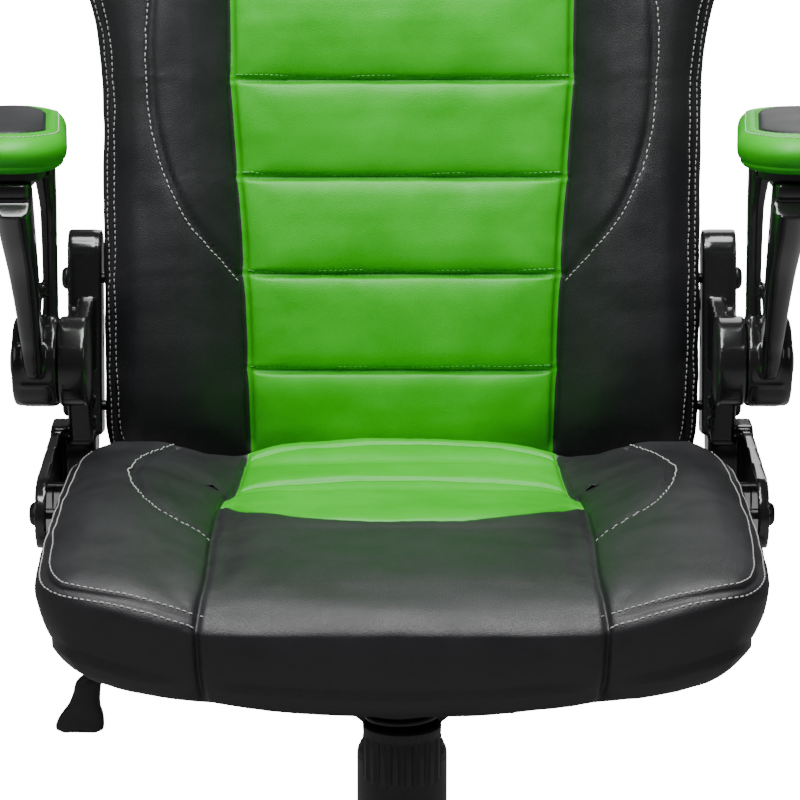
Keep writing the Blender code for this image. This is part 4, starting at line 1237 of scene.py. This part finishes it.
bracket = {
    "inner": 0.2365, "outer": 0.2580, "web": 0.0075, "flange": 0.2318,
    "backBolts": [(0.211, 0.581), (0.197, 0.483)], "seatBolts": [(0.048, 0.436), (0.118, 0.438)],
    "seatInner": 0.2625, "seatOuter": 0.2715,
}


def makeBracket(side, word):
    y, z = arm["pivot"]
    near, far, web = bracket["inner"], bracket["outer"], bracket["web"]
    r = arm["drum"]
    solids = []
    # upright channel: a web with raised rims
    upright = [(0.215, 0.600, 0.0185), (0.209, 0.565, 0.0190), (0.201, 0.518, 0.0215),
               (0.192, 0.462, 0.0220)]
    solids.append(limb(upright, near, near + web, softness=8.0))
    for offset in (-1, 1):
        spine = [(py + offset * (half - 0.003), pz - offset * (half - 0.003) * 0.15, 0.0034) for py, pz,
                 half in upright]
        solids.append(limb(spine, near, far, softness=6.0))
    top, foot = upright[0], upright[-1]
    solids.append(turnedRing([(top[2] - 0.0068, near), (top[2], near), (top[2], far - 0.001),
                              (top[2] - 0.001, far), (top[2] - 0.0058, far),
                              (top[2] - 0.0068, far - 0.001)],
                             "X", (0, top[0], top[1]), 64))
    solids.append(turned([(0, near), (foot[2], near), (foot[2], far - 0.001), (foot[2] - 0.001, far),
                          (0, far)], "X", (0, foot[0], foot[1]), 64))
    solids.append(turned([(0, near), (r - 0.0012, near), (r, near + 0.0012), (r, far - 0.0012),
                          (r - 0.0012, far), (0, far)], "X", (0, y, z), 96))
    solids.append(extruded(bar((y, z), (0.205, 0.545), 0.0255, 0.0255), near + 0.0005, near + web + 0.004,
                           "X"))
    for dz in (-0.020, 0.0, 0.020):   # cross ribs from the drum to the upright
        solids.append(extruded(rounded([(y + 0.02, z + dz - 0.002), (0.204, 0.545 + dz * 0.8 - 0.002),
                                        (0.204, 0.545 + dz * 0.8 + 0.002), (y + 0.02, z + dz + 0.002)],
                                       0.001),
                               near + 0.002, far - 0.001, "X"))
    for by, bz in bracket["backBolts"]:
        solids.append(turned([(0, bracket["flange"]), (0.0105, bracket["flange"]), (0.0105, far), (0, far)],
                             "X", (0, by, bz), 40))
    solids.append(limb([(py, pz, half - 0.0005) for py, pz, half in upright], bracket["flange"],
                       near + 0.002, softness=7.0))
    solids.append(turned([(0, bracket["flange"]), (top[2] - 0.0005, bracket["flange"]),
                          (top[2] - 0.0005, near + 0.001), (0, near + 0.001)], "X", (0, top[0], top[1]),
                         64))
    solids.append(extruded(rounded([(0.1685, 0.418), (0.202, 0.418), (0.214, 0.440), (0.205, 0.472),
                                    (0.1685, 0.472)], 0.008), near + 0.001, bracket["seatOuter"], "X"))
    tailBar = bar((0.048, 0.437), (0.185, 0.443), 0.0265, 0.025)
    solids.append(extruded(tailBar, bracket["seatInner"], bracket["seatOuter"] - 0.0040, "X"))
    shrunk = bar((0.048, 0.437), (0.185, 0.443), 0.0235, 0.022)
    # raised rim round the bar
    count = len(tailBar)
    points = [(x, a, b) for x, outline in ((bracket["seatOuter"], tailBar), (bracket["seatOuter"], shrunk),
                                           (bracket["seatInner"], shrunk), (bracket["seatInner"], tailBar))
              for a, b in outline]
    rimFaces = []
    for i in range(count):
        j = (i + 1) % count
        for lap in range(4):
            p, q = lap * count, (lap + 1) % 4 * count
            rimFaces.append((p + i, p + j, q + j, q + i))
    solids.append((points, rimFaces))
    for by, bz in bracket["seatBolts"]:
        solids.append(turned([(0, bracket["seatInner"]), (0.0125, bracket["seatInner"]),
                              (0.0125, bracket["seatOuter"]), (0, bracket["seatOuter"])], "X", (0, by, bz),
                             40))
    for dy in (-0.012, 0.0, 0.012):   # ribs below the drum
        solids.append(extruded(rounded([(0.150 + dy, z - 0.030), (0.154 + dy, z - 0.030),
                                        (0.180 + dy, 0.462), (0.176 + dy, 0.462)], 0.001), near + 0.001,
                               far - 0.002, "X"))
    cuts = []
    for cy, cz, radius in ((0.083, 0.438, 0.0085), (0.158, 0.440, 0.0075), (0.213, 0.560, 0.0055),
                           (0.207, 0.532, 0.0050)):
        cuts.append(sided(turned([(0, 0.22), (radius, 0.22), (radius, 0.28), (0, 0.28)], "X", (0, cy, cz),
                                 40), side))
    fuse(f"side_bracket_shell_{word}", [sided(s, side) for s in solids], "seat", [f"side_bracket_{word}"],
         "gloss_black", 0.0014, 4, cuts)
    for number, (by, bz) in enumerate(bracket["backBolts"]):
        solidPiece(f"back_screw_{word}_{number + 1}", screwHead(0.0088, 0.0052, far + 0.0003, side, by, bz,
                0.004, 0.2130), "seat",
                   [f"back_bolt_{word}_{number + 1}"], "black_steel", 30)
    for number, (by, bz) in enumerate(bracket["seatBolts"]):
        solidPiece(f"seat_screw_{word}_{number + 1}", screwHead(0.0088, 0.0050,
                bracket["seatOuter"] + 0.0004, side, by, bz, 0.004, 0.2430), "seat",
                   [f"seat_bolt_{word}_{number + 1}"], "black_steel", 30)


# tilt mechanism, knob, spring and lever under the seat

under = {
    "halfWidth": 0.080, "front": -0.150, "rear": 0.070, "frontFloor": 0.3445, "floor": 0.319, "top": 0.360,
    "rearTop": 0.3385, "wall": 0.004,
    "boss": 0.028, "pin": (-0.050, 0.347), "plateLow": 0.3647, "plateHigh": 0.3687, "knobY": -0.120,
    "knob": 0.028, "knobLow": 0.287,
    "knobHigh": 0.330, "flutes": 18, "wire": 0.0022, "coil": 0.0245, "coilTurns": 2.0, "leverZ": 0.342,
    "leverX": -0.045,
}


def makeHousing():
    u = under
    side = [(u["front"], u["frontFloor"]), (-0.075, u["frontFloor"]), (-0.055, u["floor"]),
            (u["rear"], u["floor"]), (u["rear"], u["rearTop"]),
            (-0.045, u["top"]), (u["front"], u["top"])]
    solids = []
    for near in (-u["halfWidth"], u["halfWidth"] - u["wall"]):
        solids.append(extruded(rounded(side, 0.007), near, near + u["wall"], "X"))
    floorLine = [(u["front"], u["frontFloor"]), (-0.075, u["frontFloor"]), (-0.055, u["floor"]),
                 (u["rear"], u["floor"])]
    for (y1, z1), (y2, z2) in zip(floorLine, floorLine[1:]):
        solids.append(extruded([(y1, z1), (y2, z2), (y2, z2 + u["wall"]), (y1, z1 + u["wall"])],
                               -u["halfWidth"], u["halfWidth"], "X"))
    for wall in (box(u["front"], u["frontFloor"], u["front"] + u["wall"], u["top"]),
                 box(u["rear"] - u["wall"], u["floor"], u["rear"], u["rearTop"])):
        solids.append(extruded(wall, -u["halfWidth"], u["halfWidth"], "X"))
    solids.append(turned([(0, 0.2788), (u["boss"] - 0.002, 0.2788), (u["boss"], 0.281), (u["boss"], 0.308),
                          (u["boss"] + 0.010, 0.3195), (0, 0.3195)], "Z", (0, 0, 0), 96))
    for angle in (40, 140, 220, 320):   # webs from the boss to the floor
        dx, dy = cos(radians(angle)), sin(radians(angle))
        web = [(0.020, 0.2900), (0.030, 0.2900), (0.062, 0.3185), (0.062, 0.3215), (0.020, 0.3215)]
        rings = []
        for offset in (-0.0018, 0.0018):
            rings.append([(d * dx - offset * dy, d * dy + offset * dx, z) for d, z in web])
        solids.append(lofted(rings))
    for x in (-0.045, 0.045):           # pressed ribs along the floor
        solids.append(extruded(rounded(box(-0.040, u["floor"] - 0.0022, 0.060, u["floor"] + 0.002), 0.0018),
                               x - 0.005, x + 0.005, "X"))
    cheek = [(-0.054, u["floor"] + 0.001), (-0.036, u["floor"] + 0.001), (-0.038, u["leverZ"] + 0.0075),
             (-0.052, u["leverZ"] + 0.0075)]
    for near, far in ((-0.0155, -0.0115), (0.0115, 0.0155)):
        solids.append(extruded(rounded(cheek, 0.003), near, far, "Y"))
    for x in (-0.0815, 0.0815):         # bosses round the tilt pin
        solids.append(turned([(0, x - 0.0015), (0.0105, x - 0.0015), (0.0105, x + 0.0015), (0, x + 0.0015)],
                             "X", (0, *u["pin"]), 40))
    cuts = [extruded(box(-0.0065, u["leverZ"] - 0.007, 0.0065, 0.40), -0.12, -0.0755, "X")]
    # seat of the gas column
    cuts.append(turned([(0, 0.27), (0.0144, 0.27), (0.0144, 0.33), (0, 0.33)], sides=96))
    fuse("mechanism_casing", solids, "swivel", ["mechanism_housing"], "black_paint", 0.0016, 4, cuts)
    pin = turned([(0, -0.0925), (0.0042, -0.0925), (0.005, -0.0917), (0.005, -0.0905), (0.0042, -0.0902),
                  (0.0042, -0.0893), (0.005, -0.0890),
                  (0.005, 0.0890), (0.0042, 0.0893), (0.0042, 0.0902), (0.005, 0.0905), (0.005, 0.0917),
                  (0.0042, 0.0925), (0, 0.0925)],
                 "X", (0, *u["pin"]), 48)
    solidPiece("tilt_axle", pin, "swivel", ["tilt_pin"], "bright_steel")
    bolt = turned([(0, 0.291), (0.004, 0.291), (0.004, 0.349), (0.0078, 0.349), (0.008, 0.3496),
                   (0.008, 0.3535), (0.0066, 0.3545), (0, 0.3545)],
                  "Z", (0, u["knobY"], 0), 6)
    solidPiece("tension_screw", bolt, "swivel", ["tension_bolt"], "bright_steel")

    solids = [extruded(rounded(box(-0.100, -0.140, 0.100, 0.100), 0.014), u["plateLow"], u["plateHigh"],
                       "Z")]
    for s in (-1, 1):
        y, z = u["pin"]
        lug = [(y - 0.011, z), (y - 0.009, z - 0.0075), (y, z - 0.011), (y + 0.009, z - 0.0075),
               (y + 0.011, z), (y + 0.020, u["plateHigh"] - 0.001), (y - 0.020, u["plateHigh"] - 0.001)]
        low, high = sorted((s * 0.0838, s * 0.0878))
        solids.append(extruded(rounded(lug, 0.004), low, high, "X"))
        rail = rounded(box(-0.132, u["plateLow"] - 0.0016, 0.092, u["plateLow"] + 0.001), 0.001)
        low, high = sorted((s * 0.092, s * 0.098))
        solids.append(extruded(rail, low, high, "X"))
    cuts = []
    for x in (-0.078, 0.078):
        for y in (-0.118, 0.078):
            cuts.append(extruded(bar((x, y - 0.006), (x, y + 0.006), 0.0034, 0.0034, 8), 0.35, 0.38, "Z"))
    fuse("seat_mount_plate", solids, "seat", ["seat_plate"], "black_paint", 0.0015, 3, cuts)
    board = [(-0.178, -0.190), (0.178, -0.190), (0.190, 0.124), (-0.190, 0.124)]
    solidPiece("seat_ply", extruded(rounded(board, 0.060, 14), 0.3672, 0.3790, "Z"), "seat", ["seat_board"],
               "plywood")
    screws = []
    for x in (-0.078, 0.078):
        for y in (-0.118, 0.078):
            screws.append(turned([(0, 0.3618), (0.0052, 0.3618), (0.0062, 0.3632), (0.0062, 0.3646),
                                  (0.0030, 0.3650), (0.0030, 0.3692), (0, 0.3692)], "Z", (x, y, 0), 32))
    solidPiece("mount_plate_screws", joined(screws), "seat", (), "black_steel")


def makeKnob():
    u = under
    heights = [(u["knobLow"], 0.0030, 0.3), (u["knobLow"] + 0.0012, 0.0012, 0.8),
               (u["knobLow"] + 0.003, 0.0002, 1), (u["knobHigh"] - 0.0105, 0, 1),
               (u["knobHigh"] - 0.0088, 0.0004, 0.25), (u["knobHigh"] - 0.0080, 0.0003, 0),
               (u["knobHigh"] - 0.0022, 0.0, 0), (u["knobHigh"] - 0.0008, 0.0010, 0),
               (u["knobHigh"] - 0.0003, 0.0022, 0)]
    sides = u["flutes"] * 16
    rings = []
    for height, inset, ribbed in heights:
        ring = []
        for k in range(sides):
            phase = (k % 16) / 16
            flute = 0.0022 * ribbed * max(0.0, 1 - ((phase - 0.5) / 0.30) ** 2) ** 0.8
            radius = u["knob"] - inset - flute
            angle = 2 * pi * k / sides
            ring.append((radius * cos(angle), u["knobY"] + radius * sin(angle), height))
        rings.append(ring)
    # dished end with a shallow hub
    for radius, height in ((0.0215, u["knobLow"] + 0.0004), (0.0205, u["knobLow"] + 0.0026),
                           (0.0095, u["knobLow"] + 0.0030), (0.0088, u["knobLow"] + 0.0008)):
        rings.insert(0, [(radius * cos(2 * pi * k / sides), u["knobY"] + radius * sin(2 * pi * k / sides),
                          height) for k in range(sides)])
    solidPiece("tension_knob_body", lofted(rings), "knob", ["tension_knob"], "matte_black", 32)
    low, high = u["knobHigh"] + u["wire"], u["frontFloor"] - 0.0003 - u["wire"]
    count = 220
    t = np.linspace(0, 1, count)
    # the end coils lie flat against each other
    rise = low + (high - low) * np.clip((t - 0.06) / 0.88, 0, 1)
    turn = 2 * pi * u["coilTurns"] * t
    path = np.stack([u["coil"] * np.cos(turn), u["knobY"] + u["coil"] * np.sin(turn), rise], 1)
    coil = pipe("tension_coil", path, u["wire"], "swivel", "black_paint", 16)
    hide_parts("tension_spring")


def makeLever():
    u = under
    x, z = u["leverX"], u["leverZ"]
    bush = turned([(0, -0.0152), (0.0040, -0.0152), (0.0045, -0.0147), (0.0045, -0.0110), (0.0074, -0.0110),
                   (0.0080, -0.0104), (0.0080, 0.0104), (0.0074, 0.0110),
                   (0.0045, 0.0110), (0.0045, 0.0147), (0.0040, 0.0152), (0, 0.0152)], "Y", (x, 0, z), 48)
    solidPiece("lever_trunnion_bush", bush, "lever_trunnion", ["lever_bush"], "matte_black")
    route = densePath([(0.003, z), (-0.030, z), (-0.060, z), (-0.100, z), (-0.118, z - 0.002),
                       (-0.195, 0.3310), (-0.216, 0.3270), (-0.228, 0.3190), (-0.233, 0.3080)], 0.0015)
    path = np.stack([route[:, 0], np.zeros(len(route)), route[:, 1]], 1)
    rod = pipe("lever_wire", path, 0.0040, "lever", "black_steel", 24)
    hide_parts("lever_rod")
    # height, middle, half width along X, half thickness along Y, wave
    sections = smoothRows([(0.3262, -0.2292, 0.0052, 0.0056), (0.3240, -0.2300, 0.0078, 0.0070),
                           (0.3200, -0.2315, 0.0096, 0.0078), (0.3120, -0.2330, 0.0102, 0.0076),
                           (0.3040, -0.2347, 0.0118, 0.0072), (0.2980, -0.2360, 0.0148, 0.0068),
                           (0.2920, -0.2375, 0.0172, 0.0062), (0.2870, -0.2384, 0.0180, 0.0056),
                           (0.2842, -0.2386, 0.0174, 0.0046), (0.2828, -0.2386, 0.0150, 0.0030)], 60)
    rings = []
    for height, middle, wide, thick in sections:
        ring = []
        for k in range(48):
            angle = 2 * pi * k / 48
            u1, v1 = np.sign(cos(angle)) * abs(cos(angle)) ** 0.8, np.sign(sin(angle)) * abs(sin(angle)) ** 0.8
            wave = 0.0011 * cos(u1 * pi * 1.5) * max(0.0, (0.296 - height) / 0.013)
            dish = 1 - 0.22 * max(0.0, 1 - u1 * u1) * np.exp(-((height - 0.292) / 0.008) ** 2)
            ring.append((middle + wide * u1, thick * v1 * dish, height + wave))
        rings.append(ring)
    solidPiece("lever_paddle", lofted(rings), "lever", ["lever_handle"], "matte_black", 50)


# rows of numbers read again at even steps from smooth curves through them
def smoothRows(rows, count):
    rows = np.array(rows, float)
    t = np.arange(len(rows))
    return np.stack([smoothCurve(list(zip(t, rows[:, i])))(np.linspace(0, len(rows) - 1, count))
                     for i in range(rows.shape[1])], 1)


# gas column

column = {"tube": 0.025, "tubeLow": 0.076, "tubeHigh": 0.240, "cylinderLow": 0.105, "cylinderHigh": 0.330,
          "coverHigh": 0.2785}


def makeColumn():
    k = column
    solidPiece("column_tube_turned", turnedRing([(0.0055, k["tubeLow"]), (k["tube"] - 0.0012, k["tubeLow"]),
                                                 (k["tube"], k["tubeLow"] + 0.0012),
                                                 (k["tube"], k["tubeHigh"] - 0.001),
               (k["tube"] - 0.001, k["tubeHigh"]), (0.0145, k["tubeHigh"]), (0.0145, 0.080),
                                                 (0.0055, 0.080)], sides=96), "base", ["column_tube"],
               "black_steel")
    solidPiece("piston_rod_turned", turned([(0, 0.0752), (0.0042, 0.0752), (0.005, 0.0762), (0.005, 0.295),
                                            (0, 0.295)], sides=48), "base", ["piston_rod"], "bright_steel")
    solidPiece("gas_cylinder_turned", turnedRing([(0.0058, k["cylinderLow"]), (0.0132, k["cylinderLow"]),
                                                  (0.014, k["cylinderLow"] + 0.001),
                                                  (0.014, k["cylinderHigh"] - 0.0012),
               (0.0128, k["cylinderHigh"]), (0.0045, k["cylinderHigh"]), (0.0045, 0.320), (0.0008, 0.320),
                                                  (0.0008, 0.305), (0.0058, 0.305)], sides=96),
               "lift", ["gas_cylinder"], "bright_steel")
    solidPiece("valve_pin", turned([(0, 0.3265), (0.0040, 0.3265), (0.0040, 0.3358), (0.0032, 0.3370),
                                    (0, 0.3371)], sides=40), "valve", ["valve_button"], "black_steel")
    inner, wall = k["tube"] + 0.0006, 0.0019
    for name, body, low, high in (("cover_bottom", "base", 0.1503, 0.238),
                                  ("cover_middle", "cover_slider", 0.1523, 0.250)):
        outer = inner + wall
        profile = [(inner, low), (outer - 0.0004, low), (outer, low + 0.0004)]
        for i in range(1, 5):   # faint mould rings
            height = low + (high - low) * i / 5
            profile += [(outer, height - 0.0008), (outer - 0.0003, height), (outer, height + 0.0008)]
        profile += [(outer, high - 0.0012), (outer - 0.0010, high), (inner + 0.0002, high)]
        solidPiece(f"{name}_tier", turnedRing(profile, sides=96), body, [name], "nylon_black")
        inner += 0.0027
    outer = inner + wall + 0.0005
    top = k["coverHigh"]
    profile = [(inner, 0.1543), (outer - 0.0006, 0.1543), (outer, 0.1552), (outer, 0.1580),
               (outer - 0.0004, 0.1586), (outer, 0.1592), (outer, top - 0.0140),
               (outer - 0.0004, top - 0.0136),
               (outer, top - 0.0130)]
    for i in range(1, 9):
        angle = pi / 2 * i / 8
        profile.append((outer - 0.010 + 0.010 * cos(angle), top - 0.0125 + 0.0115 * sin(angle)))
    profile += [(0.0175, top - 0.0008), (0.0165, top), (0.0145, top), (0.0145, top - 0.004),
                (inner, top - 0.0042)]
    solidPiece("cover_top_tier", turnedRing(profile, sides=96), "lift", ["cover_top"], "nylon_black")


# five-legged base and casters

base = {"circle": 0.285, "hub": 0.042, "low": 0.075, "high": 0.150, "socket": 0.017, "tipLow": 0.066,
        "tipHigh": 0.092, "trail": 0.018, "wheel": 0.025}
casterPlaces = [-pi / 2 + 2 * pi * i / 5 for i in range(5)]


def makeBase():
    solids = [turned([(0, base["low"]), (base["hub"] - 0.003, base["low"]),
                      (base["hub"], base["low"] + 0.003), (base["hub"] - 0.001, 0.120), (0.036, 0.142),
                      (0.0335, base["high"] - 0.0015),
                      (0.032, base["high"]), (0, base["high"])], sides=120)]
    for angle in casterPlaces:
        along, across = (cos(angle), sin(angle)), (-sin(angle), cos(angle))
        rows = smoothRows([(0.020, 0.0255, 0.090, 0.1440), (0.060, 0.0245, 0.086, 0.1400),
                           (0.110, 0.0225, 0.081, 0.1300), (0.170, 0.0195, 0.076, 0.1160),
                           (0.230, 0.0170, 0.072, 0.1020),
                           (base["circle"], 0.0150, 0.070, base["tipHigh"] - 0.001)], 50)
        rings = []
        for distance, half, low, high in rows:
            ring = []
            for k in range(28):     # a rounded saddle section
                t = 2 * pi * k / 28
                u1 = np.sign(cos(t)) * abs(cos(t)) ** 0.55
                v1 = np.sign(sin(t)) * abs(sin(t)) ** 0.75
                taper = 1 - 0.30 * max(0.0, v1)
                x = u1 * half * taper
                ring.append((distance * along[0] + x * across[0], distance * along[1] + x * across[1],
                             (low + high) / 2 + (high - low) / 2 * v1))
            rings.append(ring)
        solids.append(lofted(rings))
        # a raised spine on top of each leg
        spine = []
        for distance, half, low, high in rows[4:-4]:
            ring = []
            for k in range(12):
                t = 2 * pi * k / 12
                x = 0.0042 * cos(t)
                ring.append((distance * along[0] + x * across[0], distance * along[1] + x * across[1],
                             high - 0.0010 + 0.0020 * sin(t)))
            spine.append(ring)
        solids.append(lofted(spine))
        tip = (base["circle"] * along[0], base["circle"] * along[1], 0)
        solids.append(turned([(0, base["tipLow"]), (0.0155, base["tipLow"]),
                              (base["socket"], base["tipLow"] + 0.0015), (base["socket"], 0.086),
                              (0.0140, base["tipHigh"] - 0.0005), (0, base["tipHigh"])], "Z", tip, 56))
    cuts = [turned([(0, 0.06), (0.0253, 0.06), (0.0253, 0.16), (0, 0.16)], sides=96)]
    fuse("five_star_base", solids, "base", ["star_base"], "nylon_black", 0.0020, 5, cuts)


def makeCasters():
    r, axleHeight, trail = base["wheel"], base["wheel"] * cos(pi / 16), base["trail"]
    centre = (trail, 0, axleHeight)
    for number, angle in enumerate(casterPlaces):
        tag = f"caster_{number + 1}"
        foot = (base["circle"] * cos(angle), base["circle"] * sin(angle))

        def placed(solid):
            points, faces = solid
            return [(foot[0] + x * cos(angle) - y * sin(angle), foot[1] + x * sin(angle) + y * cos(angle),
                     z) for x, y, z in points], faces

        stem = turned([(0, 0.0530), (0.0055, 0.0530), (0.0055, 0.0620), (0.0094, 0.0620), (0.0100, 0.0626),
                       (0.0100, 0.0650), (0.0094, 0.0656), (0.0055, 0.0656), (0.0055, 0.0780),
                       (0.0050, 0.0785),
                       (0.0050, 0.0805), (0.0055, 0.0810), (0.0055, 0.0875), (0.0045, 0.0886), (0, 0.0886)],
                      sides=48)
        solidPiece(f"{tag}_pintle", placed(stem), f"{tag}_swivel", [f"{tag}_stem"], "black_steel")
        outer = r + 0.0033

        def sweep(radius, order=1):   # points round the hood's arc
            turns = [radians(-12 + 192 * i / 48) for i in range(0, 49)[::order]]
            return [(trail + radius * cos(t), axleHeight + radius * sin(t)) for t in turns]

        arc = sweep(outer) + sweep(r + 0.0010, -1)
        webArc = sweep(outer * 0.985)
        webArc += [(trail - 0.010, axleHeight - 0.006), (trail, axleHeight - 0.011),
                   (trail + 0.012, axleHeight - 0.010)]
        solids = [extruded(webArc, -0.0034, 0.0034, "Y"), extruded(arc, -0.0225, 0.0225, "Y"),
                  turned([(0, 0.0495), (0.0105, 0.0495), (0.0105, 0.0610), (0.0098, 0.0617), (0, 0.0617)],
                         sides=48)]
        for offset in (-0.0205, 0.0205):   # thicker rims at the hood's edges
            rim = sweep(outer + 0.0006) + sweep(r + 0.0012, -1)
            solids.append(extruded(rim, offset - 0.0016, offset + 0.0016, "Y"))
        fuse(f"{tag}_fender", [placed(s) for s in solids], f"{tag}_swivel", [f"{tag}_hood"], "nylon_black",
             0.0011, 3)
        half = [(0.0046, 0.0062), (0.0046, r - 0.0030), (0.0058, r - 0.0009), (0.0075, r - 0.0001),
                (0.0125, r), (0.0180, r - 0.0002), (0.0200, r - 0.0012), (0.0212, r - 0.0036),
                (0.0215, r - 0.0050),
                (0.0206, r - 0.0062), (0.0200, 0.0120), (0.0206, 0.0105), (0.0212, 0.0080),
                (0.0213, 0.0034)]
        profile = [(q, h) for h, q in half] + [(q, -h) for h, q in reversed(half)]
        wheel = turnedRing(profile, "Y", centre, 96)
        solidPiece(f"{tag}_tyres", placed(wheel), f"{tag}_wheel", [f"{tag}_wheels"], "tread", 30)
        axle = turned([(0, -0.0223), (0.0024, -0.0223), (0.0030, -0.0217), (0.0030, 0.0217),
                       (0.0024, 0.0223), (0, 0.0223)], "Y", centre, 40)
        solidPiece(f"{tag}_pin", placed(axle), f"{tag}_wheel", [f"{tag}_axle"], "black_steel")


# the shell behind the back: a padded rear panel with a raised ridge near its edge and faint ribs

def makeBackShell():
    rows = smoothRows([(0.020, 0.190), (0.050, 0.196), (0.100, 0.198), (0.200, 0.198), (0.300, 0.198),
                       (0.375, 0.200), (0.430, 0.211), (0.480, 0.221), (0.530, 0.214), (0.580, 0.184),
                       (0.630, 0.152), (0.672, 0.128)], 150)
    across = np.linspace(-1, 1, 121)
    points, faces = [], []
    low, high = rows[0, 0], rows[-1, 0]
    for height, half in rows:
        end = min(height - low, high - height)
        for a in across:
            edge = min((1 - abs(a)) * half, end)
            lift = 0.0098 * (1 - np.exp(-edge / 0.0035))
            ridge = 0.0016 * np.exp(-((edge - 0.020) / 0.0018) ** 2)
            rib = 0.0012 * max(0.0, cos(a * pi * 3)) ** 6 * ease(edge, 0.03, 0.05)
            points.append(leaning(np.array(a * half), height,
                                  -0.0653 - max(0.0003, lift - ridge - 0.0008 + rib)))
    wide = len(across)
    faces = [(i * wide + j, i * wide + j + 1, (i + 1) * wide + j + 1, (i + 1) * wide + j)
             for i in range(len(rows) - 1) for j in range(wide - 1)]
    start = len(points)
    inner = [leaning(np.array(a * half), height, -0.0645) for height, half in rows for a in across]
    faces += [tuple(start + k for k in reversed(face)) for face in faces]
    rim = [j for j in range(wide)] + [i * wide + wide - 1 for i in range(1,
            len(rows))] + [(len(rows) - 1) * wide + j for j in range(wide - 2, -1, -1)] + [i * wide
                    for i in range(len(rows) - 2, 0, -1)]
    for p, q in zip(rim, rim[1:] + rim[:1]):
        faces.append((p, start + p, start + q, q))
    linkMesh("back_shell", points + inner, faces, "seat", ["back_board"], "nylon_black",
             [looks["nylon_black"]])


makeStage()
makeLooks()
makeSeatCushion()
makeBackCushion()
makeBackShell()
for side, word in ((-1, "right"), (1, "left")):   # sides as the sitter has them
    makePad(side, word)
    makeArm(side, word)
    makeBracket(side, word)
print("armrests made")
makeHousing()
makeKnob()
makeLever()
print("mechanism made")
makeColumn()
makeBase()
makeCasters()
print("column, base and casters made")
